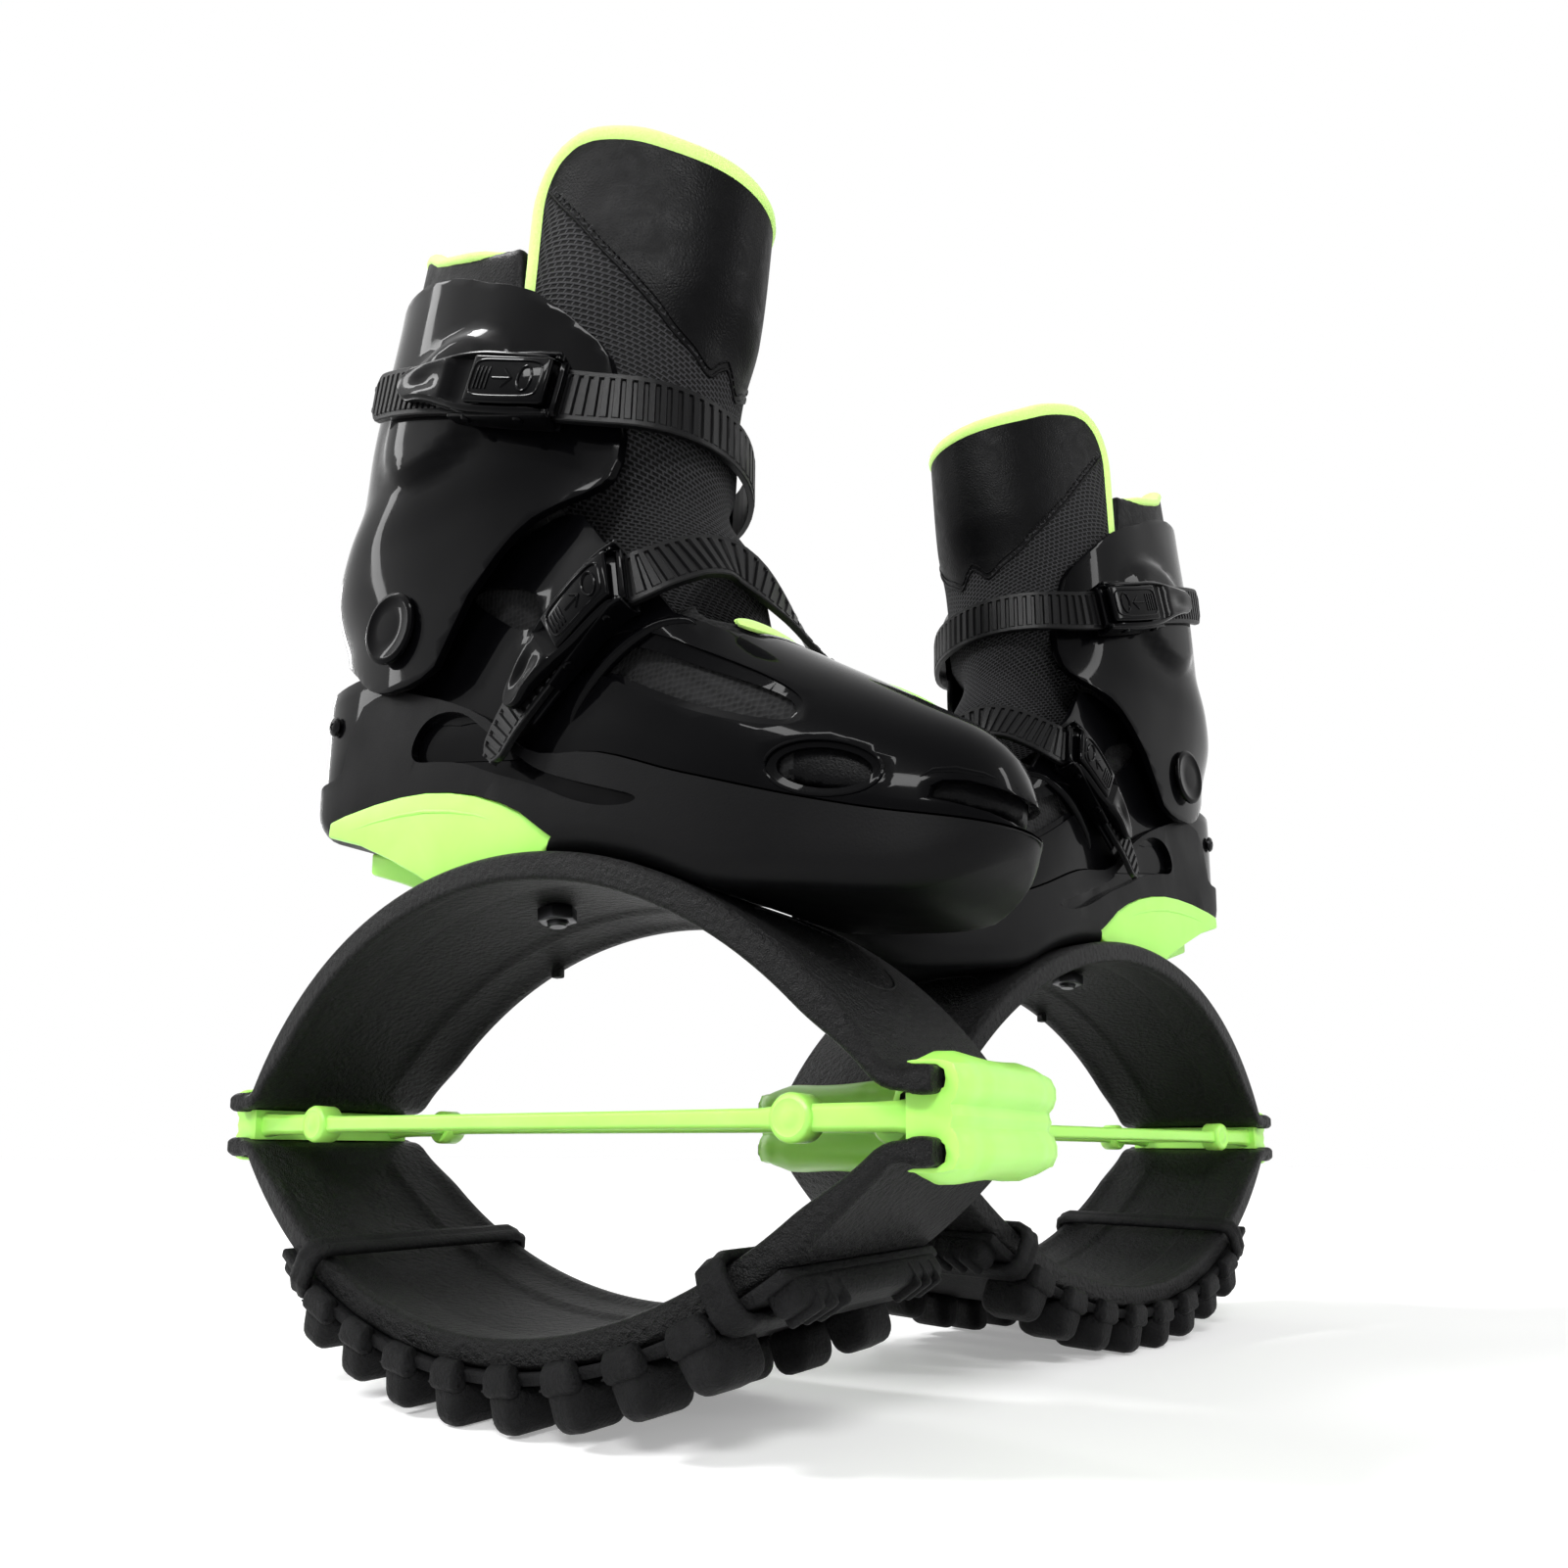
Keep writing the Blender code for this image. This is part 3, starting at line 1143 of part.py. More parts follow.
def screw_place(side):
    """Where a heel screw stands on the shell, and which way it points."""
    x = along(SCREW_SHARE[0])
    share = (x + HEEL_REACH) / BOOT_LENGTH
    half = HALF_WIDTH * smooth(SHELL_WIDTH_SHARES, share)

    def y_at(s):
        return half * sqrt(max(0, 1 - abs(1 - 2 * s) ** HEEL_POWER))

    step = 0.01
    slope = (y_at(share + step) - y_at(share - step)) / (2 * step * BOOT_LENGTH)
    level = (height(SCREW_SHARE[1]) - floor_height(x)) / (height(RIDGE_SHARES[0][1]) - floor_height(x))
    narrow = (1 - level ** DOME_POWER) ** (1 / DOME_POWER)
    normal = Vector((-slope, side, 0)).normalized()
    return Vector((x, side * y_at(share) * narrow, height(SCREW_SHARE[1]))), normal


def screw_hole(side):
    spot, normal = screw_place(side)
    hole = turned([(SCREW_SHANK / 2 + GAP, -2 * SHELL_WALL), (SCREW_SHANK / 2 + GAP, OVERRUN)])
    return moved(hole, aimed(spot, normal))


def heel_screw(side):
    spot, normal = screw_place(side)
    shank, cap = SCREW_SHANK / 2, SCREW_HEAD / 2
    stations = [(shank, -SHELL_WALL + 2 * GAP), (shank, 2 * GAP), (cap, 2 * GAP),
                (cap, SCREW_HEAD_THICK), (cap * 0.7, SCREW_HEAD_THICK + 2 * GAP)]
    return moved(turned(stations), aimed(spot, normal))


def sole_bolt():
    """The bolt from the sole down through the ring's top."""
    low = RING_TOP - LEAF_THICKNESS - NUT_THICK - 2 * GAP
    seat = bolt_seat() + GAP
    shank, cap = BOLT_DIAMETER / 2, BOLT_HEAD / 2
    stations = [(shank, low - seat), (shank, 0), (cap, 0), (cap, BOLT_HEAD_THICK)]
    return moved(turned(stations), bolt_frame(seat))


def sole_nut():
    """The hexagonal nut under the ring's top, with a bore round the bolt."""
    top = RING_TOP - LEAF_THICKNESS - 2 * GAP
    outer = turned([(NUT_WIDTH / sqrt(3), -NUT_THICK), (NUT_WIDTH / sqrt(3), 0)], 6)
    bore = turned([(BOLT_DIAMETER / 2 + GAP, -OVERRUN), (BOLT_DIAMETER / 2 + GAP, OVERRUN)])
    return moved(cut(outer, bore), bolt_frame(top))


def strap_rivet(path, share, root_drop):
    """A rivet that holds a strap's fixed end."""
    here, out, run = path(share)
    shank, cap = RIVET_SHANK / 2, RIVET_HEAD / 2
    seat = STRAP_THICKNESS + GAP
    stations = [(shank, root_drop), (shank, seat), (cap, seat), (cap, seat + RIVET_HEAD_THICK / 2),
                (cap * 0.8, seat + RIVET_HEAD_THICK)]
    return moved(turned(stations, 12), aimed(here, out))


def build():
    place("lower_spring", leaf(LOWER_DROP, WAIST - LIP_LEVEL, -1), MATTE_BLACK)
    place("upper_spring", upper_spring(), MATTE_BLACK)
    place("tension_spring", tension_spring(), LIME)
    place("tread", tread(), RUBBER)
    place("front_collar", collar(1), RUBBER)
    place("rear_collar", collar(-1), RUBBER)
    place("sole_base", sole_base(), MATTE_BLACK)
    place("outer_heel_insert", heel_insert(-1), LIME)
    place("inner_heel_insert", heel_insert(1), LIME)
    place("heel_plug", heel_plug(), LIME)
    place("sole_bolt", sole_bolt(), STEEL)
    place("sole_nut", sole_nut(), STEEL)
    place("foot_shell", foot_shell(), GLOSS_BLACK)
    pivot = (along(PIVOT_SHARE[0]), 0, height(PIVOT_SHARE[1]))
    place("cuff", cuff(), GLOSS_BLACK, pivot)
    place("outer_ankle_rivet", rivet(-1), GLOSS_BLACK)
    place("inner_ankle_rivet", rivet(1), GLOSS_BLACK)
    place("outer_heel_screw", heel_screw(-1), STEEL)
    place("inner_heel_screw", heel_screw(1), STEEL)
    place("liner", liner(), FABRIC)
    place("tongue", tongue(), LEATHER)
    strap_pieces(top_path, "top", TOP_RIVET_SHARE, TOP_BASE_SPAN_SHARES, TOP_LEVER_SPAN_SHARES,
                 TOP_TAB_SPAN_SHARES)
    place("top_strap_rivet", strap_rivet(top_path, TOP_RIVET_SHARE, -STRAP_CLEAR), GLOSS_BLACK)
    strap_pieces(instep_path, "instep", INSTEP_RIVET_SHARE, INSTEP_BASE_SPAN_SHARES,
                 INSTEP_LEVER_SPAN_SHARES, INSTEP_TAB_SPAN_SHARES)
    place("instep_strap_rivet", strap_rivet(instep_path, INSTEP_RIVET_SHARE, -INSTEP_CLEAR),
          GLOSS_BLACK)


def centre_under_pair():
    """Moves both shoes so that the origin is under the middle of the pair's bounds."""
    bpy.context.view_layer.update()
    points = [piece.matrix_world @ vertex.co for piece in bpy.data.objects
              if piece.type == "MESH" for vertex in piece.data.vertices]
    for carrier in (RIGHT, LEFT):
        for axis in (0, 1):
            reach = [point[axis] for point in points]
            carrier.location[axis] -= (min(reach) + max(reach)) / 2
    bpy.context.view_layer.update()


build()
centre_under_pair()
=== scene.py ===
"""A pair of jumping shoes: hard-shell boots on oval rings of two bowed springs.

Every piece is shaped once for the right shoe, in millimetres in that shoe's own frame: x points to
the toe, y to the wearer's left, z up from the floor. The left shoe is its mirror image.
"""
from math import atan2, copysign, cos, exp, hypot, pi, radians, sin, sqrt

import bmesh
import bpy
from mathutils import Matrix, Vector


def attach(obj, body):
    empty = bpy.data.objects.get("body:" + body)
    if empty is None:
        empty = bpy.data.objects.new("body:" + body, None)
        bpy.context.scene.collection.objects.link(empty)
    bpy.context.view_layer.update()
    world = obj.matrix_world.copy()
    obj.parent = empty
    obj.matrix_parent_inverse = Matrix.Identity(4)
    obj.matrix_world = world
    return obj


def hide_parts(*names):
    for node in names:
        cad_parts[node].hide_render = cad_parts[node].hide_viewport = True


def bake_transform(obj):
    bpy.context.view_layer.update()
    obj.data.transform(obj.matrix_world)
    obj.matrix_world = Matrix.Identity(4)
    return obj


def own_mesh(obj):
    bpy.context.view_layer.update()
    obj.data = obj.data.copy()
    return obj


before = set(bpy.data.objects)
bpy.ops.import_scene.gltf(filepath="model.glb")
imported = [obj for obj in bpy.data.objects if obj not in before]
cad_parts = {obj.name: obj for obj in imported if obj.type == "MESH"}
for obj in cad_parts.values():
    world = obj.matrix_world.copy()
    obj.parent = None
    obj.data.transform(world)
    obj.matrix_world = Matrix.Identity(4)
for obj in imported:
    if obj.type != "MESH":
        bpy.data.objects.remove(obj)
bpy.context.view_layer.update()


# Ring springs. Two leaves of moulded nylon, bowed apart, make the oval ring of each shoe. Each has
# a raised rail along both inner edges and a lip turned out at each end, where the lime tension
# spring grips it. Under a jump the upper one flattens to PRESSED of its height; here it is not
# flattened and only gets a mesh of its own.
RING_LENGTH = 330.0
MID_WIDTH = 101.0
END_WIDTH = 88.0
LEAF_THICKNESS = 5.5
LEAF_SPAN = 310.4
UPPER_RISE = 79.5
LOWER_DROP = 68.7
LIP_BEND = 10.0
LIP_LEVEL = 9.75
WAIST = 101.1
RING_TOP = 193.1
RAIL = 4.5
LEAF_STEPS = 110
PRESSED = 0.64
upper_level, lower_level = WAIST + LIP_LEVEL, WAIST - LIP_LEVEL


def leaf_shape(rise):
    """Radius, centre height, bend place and end angle of a leaf's middle line."""
    half = LEAF_SPAN / 2
    radius = (half * half + (rise - LIP_BEND) ** 2 - LIP_BEND ** 2) / (2 * rise)
    return radius, rise - radius, half, atan2(half, LIP_BEND - rise + radius)


def leaf_spot(rise, run):
    """Place and lean of a leaf's middle line at a run from its middle; z counts from the lips."""
    radius, centre, half, limit = leaf_shape(rise)
    side, run = (1, run) if run >= 0 else (-1, -run)
    if run < radius * limit:
        angle = run / radius
        x, z = radius * sin(angle), centre + radius * cos(angle)
    elif run < (radius + LIP_BEND) * limit:
        angle = limit - (run - radius * limit) / LIP_BEND
        x, z = half - LIP_BEND * sin(angle), LIP_BEND - LIP_BEND * cos(angle)
    else:
        angle, z = 0, 0
        x = half + run - (radius + LIP_BEND) * limit
    return side * x, z, side * angle


def leaf_width(share):
    """Half width of a leaf, from its middle to where its lips begin."""
    return (END_WIDTH + (MID_WIDTH - END_WIDTH) * cos(min(share, 1) * pi / 2)) / 2


def mirrored(side):
    """The closed outline that half an outline, as (y, z) points, makes with its mirror image."""
    return side + [(-y, z) for y, z in reversed(side[1:-1])]


def eased(low, high, value):
    """Rises smoothly from 0 at low to 1 at high."""
    t = min(1, max(0, (value - low) / (high - low)))
    return t * t * (3 - 2 * t)


def draped(across, around, spot, closed=True):
    """A grid laid over a form: spot gives the point for each pair of shares from 0 to 1."""
    form = bmesh.new()
    bmesh.ops.create_grid(form, x_segments=across, y_segments=around, size=0.5)
    cloth = form.loops.layers.uv.new("cloth")
    for face in form.faces:
        for corner in face.loops:
            corner[cloth].uv = (corner.vert.co.x + 0.5, corner.vert.co.y + 0.5)
    for vert in form.verts:
        vert.co = spot(vert.co.x + 0.5, vert.co.y + 0.5)
    if closed:
        bmesh.ops.remove_doubles(form, verts=form.verts, dist=0.005)
    return form


def sleeve(rings, cap=True):
    """A form through closed rings of equal count, with both ends filled."""
    last, count = len(rings) - 1, len(rings[0])
    form = draped(last, count, lambda u, v: rings[round(u * last)][round(v * count) % count])
    if cap:
        rims = [edge for edge in form.edges if edge.is_boundary]
        bmesh.ops.holes_fill(form, edges=rims)
        bmesh.ops.triangulate(form, faces=[f for f in form.faces if len(f.verts) > 4])
    bmesh.ops.recalc_face_normals(form, faces=form.faces)
    return form


def leaf(rise, level, up):
    """One leaf: plate, rails, shallow middle channel and rounded lips."""
    radius, centre, half, limit = leaf_shape(rise)
    whole = (radius + LIP_BEND) * limit + RING_LENGTH / 2 - half
    crowd = pi / 2 * 0.8
    rings = []
    for i in range(LEAF_STEPS + 1):
        run = whole * sin(crowd * (2 * i / LEAF_STEPS - 1)) / sin(crowd)
        x, z, angle = leaf_spot(rise, run)
        wide = leaf_width(abs(run) / (radius * limit))
        # The rail fades out before the lip, whose edge is thickened to a round bead.
        rail = 0.5 + (RAIL - 0.5) * eased(0, 34, radius * limit + 4 - abs(run))
        tip = whole - abs(run)
        bulb = 1.1 * sqrt(max(0, 1 - ((tip - 4) / 4.2) ** 2)) if tip < 8.2 else 0
        t = LEAF_THICKNESS / 2 + bulb
        side = [(0, t), (wide - 2, t), (wide, t - 1.6), (wide, -t - rail + 1.2),
                (wide - 1.2, -t - rail), (wide - 4.2, -t - rail), (wide - 8, -t - rail * 0.55),
                (wide - 24, -t - rail * 0.38), (wide - 27, -t - rail * 0.04), (0, -t)]
        rings.append([Vector((x + n * sin(angle), y, level + up * (z + n * cos(angle))))
                      for y, n in mirrored(side)])
    return sleeve(rings)


def on_leaf(rise, level, up, run, y, lift):
    """A point on a leaf's outer face."""
    x, z, angle = leaf_spot(rise, run)
    n = LEAF_THICKNESS / 2 + lift
    return Vector((x + n * sin(angle), y, level + up * (z + n * cos(angle))))


def shaped(form, steps=()):
    """The mesh that a bmesh gives after a list of modifiers."""
    mesh = bpy.data.meshes.new("form")
    form.to_mesh(mesh)
    form.free()
    body = bpy.data.objects.new("form", mesh)
    bpy.context.scene.collection.objects.link(body)
    for kind, settings in steps:
        step = body.modifiers.new(kind.lower(), kind)
        for name, value in settings.items():
            setattr(step, name, value)
    graph = bpy.context.evaluated_depsgraph_get()
    made = bpy.data.meshes.new_from_object(body.evaluated_get(graph))
    bpy.data.objects.remove(body, do_unlink=True)
    return made


def opened(mesh):
    """A mesh as a bmesh again."""
    form = bmesh.new()
    form.from_mesh(mesh)
    return form


def rounded(width, segments=3, angle=32):
    """The settings of a bevel that rounds every edge sharper than an angle."""
    return ("BEVEL", {"width": width, "segments": segments, "limit_method": "ANGLE",
                      "angle_limit": radians(angle), "harden_normals": False,
                      "miter_outer": "MITER_ARC"})


def added(form, other, matrix=Matrix.Identity(4)):
    """Puts a copy of another form into this one."""
    mesh = bpy.data.meshes.new("part")
    other.to_mesh(mesh)
    mesh.transform(matrix)
    if matrix.determinant() < 0:
        mesh.flip_normals()
    form.from_mesh(mesh)
    bpy.data.meshes.remove(mesh)


def block(size, place=(0, 0, 0), width=0.0, segments=3):
    """A block with rounded edges."""
    form = bmesh.new()
    bmesh.ops.create_cube(form, size=1, matrix=Matrix.Diagonal((*size, 1)))
    if width:
        bmesh.ops.bevel(form, geom=form.edges[:], offset=width, segments=segments, profile=0.5,
                        affect="EDGES", material=-1)
    bmesh.ops.translate(form, verts=form.verts, vec=place)
    return form


def tube(points, radius, steps=10, flat=1.0, outward=None, ends=True):
    """A round or flattened cord through points; outward gives the flat side's direction."""
    rings = []
    for i, here in enumerate(points):
        run = (points[min(i + 1, len(points) - 1)] - points[max(i - 1, 0)]).normalized()
        out = outward(i) if outward else Vector((0, 0, 1))
        out = (out - out.dot(run) * run).normalized()
        across = run.cross(out)
        size = radius(i / (len(points) - 1)) if callable(radius) else radius
        rings.append([here + size * (across * cos(2 * pi * k / steps)
                                     + out * flat * sin(2 * pi * k / steps))
                      for k in range(steps)])
    return sleeve(rings, ends)


def paint(code):
    """A hex colour as linear numbers."""
    parts = [int(code[i:i + 2], 16) / 255 for i in (1, 3, 5)]
    return (*[p / 12.92 if p <= 0.04045 else ((p + 0.055) / 1.055) ** 2.4 for p in parts], 1)


def add(tree, kind, links=None, **settings):
    """Adds a node; links gives each named or numbered input a value or another node's output."""
    made = tree.nodes.new("ShaderNode" + kind)
    for name, value in settings.items():
        setattr(made, name, value)
    for name, value in (links or {}).items():
        if isinstance(value, bpy.types.NodeSocket):
            tree.links.new(value, made.inputs[name])
        else:
            made.inputs[name].default_value = value
    return made


def finish(name, colour, roughness, **more):
    """A material with its shader, ready for patterns."""
    made = bpy.data.materials.new(name)
    made.use_nodes = True
    tree = made.node_tree
    shader = tree.nodes["Principled BSDF"]
    shader.inputs["Base Color"].default_value = paint(colour)
    shader.inputs["Roughness"].default_value = roughness
    for key, value in more.items():
        shader.inputs[key.replace("_", " ")].default_value = value
    return made, tree, shader


# Glass-filled nylon, injection moulded with a fine leather-like grain. The grain is about
# 2 mm and breaks the light into many small glints. Its tone shifts in patches of 45 mm.
NYLON, tree, shader = finish("grained_nylon", "#0a0a0b", 0.38, Specular_IOR_Level=0.16)
where = add(tree, "TexCoord").outputs["Object"]
grain = add(tree, "TexVoronoi", {"Vector": where, "Scale": 480.0}, feature="SMOOTH_F1")
fine = add(tree, "TexNoise", {"Vector": where, "Scale": 1800.0, "Detail": 2.0})
depth = add(tree, "Math", {0: grain.outputs["Distance"], 1: fine.outputs["Fac"]}, operation="ADD")
bump = add(tree, "Bump", {"Height": depth.outputs[0], "Strength": 1.0, "Distance": 0.0013})
tree.links.new(bump.outputs["Normal"], shader.inputs["Normal"])
worn = add(tree, "TexNoise", {"Vector": where, "Scale": 22.0, "Detail": 6.0})
tone = add(tree, "MapRange", {"Value": worn.outputs["Fac"], "From Min": 0.35, "From Max": 0.75,
                              "To Min": 0.34, "To Max": 0.5})
tree.links.new(tone.outputs["Result"], shader.inputs["Roughness"])
shade = add(tree, "Mix", {0: worn.outputs["Fac"], 6: paint("#090909"), 7: paint("#101011")},
            data_type="RGBA")
tree.links.new(shade.outputs[2], shader.inputs["Base Color"])

# How the shoes stand. The right one is nearest to the viewer. The left one is behind it and
# points at its side, so the two rings cross in the picture.
RIGHT_SPOT = (-0.00325, -0.176216)
LEFT_SPOT = (0.09476, 0.063696)
LEFT_YAW = 257.0
TO_METRES = Matrix.Scale(0.001, 4)
STANDS = {
    "right": Matrix.Translation((*RIGHT_SPOT, 0)) @ TO_METRES,
    "left": (Matrix.Translation((*LEFT_SPOT, 0)) @ Matrix.Rotation(radians(LEFT_YAW), 4, "Z")
             @ Matrix.Scale(-1, 4, (0, 1, 0)) @ TO_METRES),
}


def pair(name, mesh, finishes, nodes=(), body=None, blend=None, sharp=38, squash=None):
    """Sets a finished mesh on the right shoe and its mirror image on the left one."""
    made = []
    for side, stand in STANDS.items():
        own = mesh.copy()
        own.transform(stand)
        if side == "left":
            own.flip_normals()
        own.name = f"{side}_{name}"
        for coat in finishes:
            own.materials.append(coat)
        own.shade_smooth()
        own.set_sharp_from_angle(angle=radians(sharp))
        piece = bpy.data.objects.new(f"{side}_{name}", own)
        bpy.context.scene.collection.objects.link(piece)
        if nodes:
            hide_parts(*[f"{side}_{node}" for node in nodes])
        if blend:
            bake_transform(piece)
        elif body == "rings":
            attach(piece, "rings")
        else:
            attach(piece, f"{side}_{body}")
        if squash:
            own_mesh(piece)
        made.append(piece)
    return made


# The upper leaf also has two raised arcs near each end and a small lug on its rail at each side.
for name, rise, level, up in (("upper", UPPER_RISE, upper_level, 1),
                              ("lower", LOWER_DROP, lower_level, -1)):
    form = opened(shaped(leaf(rise, level, up), [rounded(0.7, 2, 25)]))
    if up > 0:
        for end in (-1, 1):
            for low, high in ((200, 340), (20, 160)):
                turns = [radians(low + (high - low) * k / 16) for k in range(17)]
                arc = [on_leaf(rise, level, up, end * (112 + 25 * sin(turn)), 29 * cos(turn), 0.05)
                       for turn in turns]
                added(form, tube(arc, lambda s: 0.25 + 0.5 * sin(pi * s), 8, 0.7))
        for run in (-66, 66):
            x, z, angle = leaf_spot(rise, run)
            n = -LEAF_THICKNESS / 2 - RAIL - 1.2
            place = (x + n * sin(angle), leaf_width(0.4) - 4.5, level + z + n * cos(angle))
            added(form, block((5, 4, 5), place, 0.8, 2))
    pair(f"{name}_leaf", shaped(form), [NYLON], [f"{name}_spring"], "rings",
         squash=(upper_level / 1000, PRESSED) if up > 0 else None)


# Tread. One rubber moulding is wrapped under the lower leaf: a thin skin, two rows of rounded
# blocks whose caps climb the leaf's edge, and a ribbed pad at each end.
TREAD_DEPTH = 19.5
TREAD_SHIFT = 6.0
TREAD_REACH = 121.5
TREAD_SEAT = 3.15
SKIN = 4.0
BLOCK_PITCH = 24.9
BLOCKS = 8
LUG_ROOT = 6.2
LUG_TIP = LEAF_THICKNESS / 2 + TREAD_DEPTH + 0.5

# Vulcanised rubber of the tread and collars: dull, a shade lighter than the springs. Its fine
# crumb is drawn at 1.5 mm so that it shows, and scuffs of 14 mm lift its tone.
RUBBER, tree, shader = finish("tread_rubber", "#0e0e0f", 0.52, Specular_IOR_Level=0.10)
where = add(tree, "TexCoord").outputs["Object"]
crumb = add(tree, "TexNoise", {"Vector": where, "Scale": 650.0, "Detail": 4.0, "Roughness": 0.7})
bump = add(tree, "Bump", {"Height": crumb.outputs["Fac"], "Strength": 1.0, "Distance": 0.0012})
tree.links.new(bump.outputs["Normal"], shader.inputs["Normal"])
scuff = add(tree, "TexNoise", {"Vector": where, "Scale": 70.0, "Detail": 7.0, "Roughness": 0.7})
shade = add(tree, "MapRange", {"Value": scuff.outputs["Fac"], "From Min": 0.42, "From Max": 0.78,
                               "To Min": 0.0, "To Max": 1.0})
tint = add(tree, "Mix", {0: shade.outputs["Result"], 6: paint("#0c0c0d"), 7: paint("#1b1b1c")},
           data_type="RGBA")
tree.links.new(tint.outputs[2], shader.inputs["Base Color"])


def lower_frame(run):
    """A frame on the lower leaf: x along it, y across, z outwards from its middle line."""
    radius, centre, half, limit = leaf_shape(LOWER_DROP)
    angle = run / radius
    place = Vector((radius * sin(angle), 0, lower_level - centre - radius * cos(angle)))
    return Matrix.Translation(place) @ Matrix.Rotation(pi - angle, 4, "Y")


def lower_width(run):
    """Half width of the lower leaf at a run from its middle."""
    radius, centre, half, limit = leaf_shape(LOWER_DROP)
    return leaf_width(abs(run) / (radius * limit))


rings = []
for i in range(49):
    run = TREAD_SHIFT + TREAD_REACH * (2 * i / 48 - 1)
    wide = lower_width(run) + 1.5
    here = lower_frame(run)
    rings.append([here @ Vector((0, y, n)) for y, n in (
        (-wide, TREAD_SEAT), (wide, TREAD_SEAT), (wide + 0.6, 4.2), (wide, TREAD_SEAT + SKIN),
        (-wide, TREAD_SEAT + SKIN), (-wide - 0.6, 4.2))])
tread = opened(shaped(sleeve(rings), [rounded(0.8, 2)]))

# Each block is a rounded lug that narrows to the ground, a cap that climbs the leaf's edge, and
# the mould's parting line across its outer face.
for i in range(BLOCKS):
    from_middle = i - (BLOCKS - 1) / 2
    run = TREAD_SHIFT + BLOCK_PITCH * from_middle
    long = 14.6 + 0.45 * abs(from_middle) ** 1.4
    wide, here = lower_width(run), lower_frame(run)
    outer = wide + 4.5
    for side in (-1, 1):
        lug = block((long, 24, LUG_TIP - LUG_ROOT), width=5.4, segments=5)
        for vert in lug.verts:
            share = eased(-1, 1, vert.co.z / (LUG_TIP - LUG_ROOT) * 2)
            vert.co.x *= 1.04 - 0.16 * share
            vert.co.y += side * 1.2 * (1 - share)
            vert.co.z -= 0.7 * (abs(vert.co.x) / long * 2) ** 2 * share
        middle = (0, side * (outer - 13), (LUG_TIP + LUG_ROOT) / 2)
        added(tread, lug, here @ Matrix.Translation(middle))
        cap = block((long * 0.98, 6.0, 12.4), width=2.8, segments=5)
        for vert in cap.verts:
            if vert.co.z < 0:
                vert.co.z += 6.2 * (abs(vert.co.x) / long * 2) ** 2.2
                vert.co.y *= 1 - 0.2 * eased(2, 6, -vert.co.z)
        added(tread, cap, here @ Matrix.Translation((0, side * (wide + 2.9), 4.4)))
        seam = block((long, 1.2, 0.7), width=0.3, segments=2)
        added(tread, seam, here @ Matrix.Translation((0, side * (outer + 0.05), 8.2)))

# The pads: a block right across the leaf with three slanted ribs at each side.
for end in (-1, 1):
    run = TREAD_SHIFT + end * (TREAD_REACH - 5.2)
    wide = lower_width(run) - 1.0
    pad = block((12.0, 2 * wide, 9.5), width=3.0, segments=4)
    for vert in pad.verts:
        vert.co.z -= 1.8 * (abs(vert.co.y) / wide) ** 4
    for side in (-1, 1):
        for k in (1, 2, 3):
            place = (0, side * (16 + 7.5 * k), 1.3)
            rib = block((12.8, 3.4, 9.0), place, 1.6, 3)
            bmesh.ops.rotate(rib, verts=rib.verts, cent=place,
                             matrix=Matrix.Rotation(radians(side * 10), 3, "Z"))
            added(pad, rib)
    added(tread, pad, lower_frame(run) @ Matrix.Translation((0, 0, 11.0)))
pair("tread_blocks", shaped(tread), [RUBBER], ["tread"], "rings", sharp=50)


# Collars. A rubber loop near each end holds the tread to the lower leaf; it is stretched over
# both, round outside, with one groove along its middle.
COLLAR_PLACE = 102.0


def loop_spot(share, wide, top, low, corner):
    """A point and its outward direction on a rectangle with round corners, by share."""
    w, h = wide - corner, (low - top) / 2 - corner
    lengths = [2 * w, corner * pi / 2, 2 * h, corner * pi / 2] * 2
    at, k = share * sum(lengths), 0
    while at > lengths[k] and k < 7:
        at -= lengths[k]
        k += 1
    middle = (low + top) / 2
    corners = [(w, h), (w, -h), (-w, -h), (-w, h)]
    if k % 2:
        cy, cn = corners[k // 2]
        turn = pi / 2 - (k // 2) * pi / 2 - at / corner
        return cy + corner * cos(turn), middle + cn + corner * sin(turn), cos(turn), sin(turn)
    starts = [(-w, h + corner, 1, 0, 0, 1), (w + corner, h, 0, -1, 1, 0),
              (w, -h - corner, -1, 0, 0, -1), (-w - corner, -h, 0, 1, -1, 0)]
    y, n, dy, dn, oy, on = starts[k // 2]
    return y + dy * at, middle + n + dn * at, oy, on


def signed(value, power):
    """A power of a number that keeps the number's sign."""
    return copysign(abs(value) ** power, value)


for end, node in ((-1, "rear_collar"), (1, "front_collar")):
    run = TREAD_SHIFT + end * COLLAR_PLACE
    wide, here = lower_width(run) + 1.9, lower_frame(run)

    def collar_spot(u, v):
        """A point of the loop: u runs round the leaf, v round the cord's own section."""
        y, n, out_y, out_n = loop_spot(u, wide, -LEAF_THICKNESS / 2 - RAIL - 0.4,
                                       TREAD_SEAT + SKIN + 0.4, 3.0)
        turn = 2 * pi * v
        flat = signed(cos(turn), 0.7)
        out = 2.2 + 2.2 * signed(sin(turn), 0.7)
        out -= 0.5 * exp(-(flat * 5.2 / 0.8) ** 2) * (sin(turn) > 0)
        return here @ Vector((flat * 5.4, y + out_y * out, n + out_n * out))

    form = draped(96, 24, collar_spot)
    bmesh.ops.recalc_face_normals(form, faces=form.faces)
    pair(f"rubber_{node}", shaped(form), [RUBBER], [node], "rings", sharp=60)


# Tension spring. A lime moulding lies between the leaves: two bars, rungs with round knobs, and
# at each end a head of two lobes whose notches grip the lips.
BAR_SPREAD = 63.5
RUNG_PLACE = 116.0
HEAD_WIDTH = 76.0
LIP_TIP = RING_LENGTH / 2
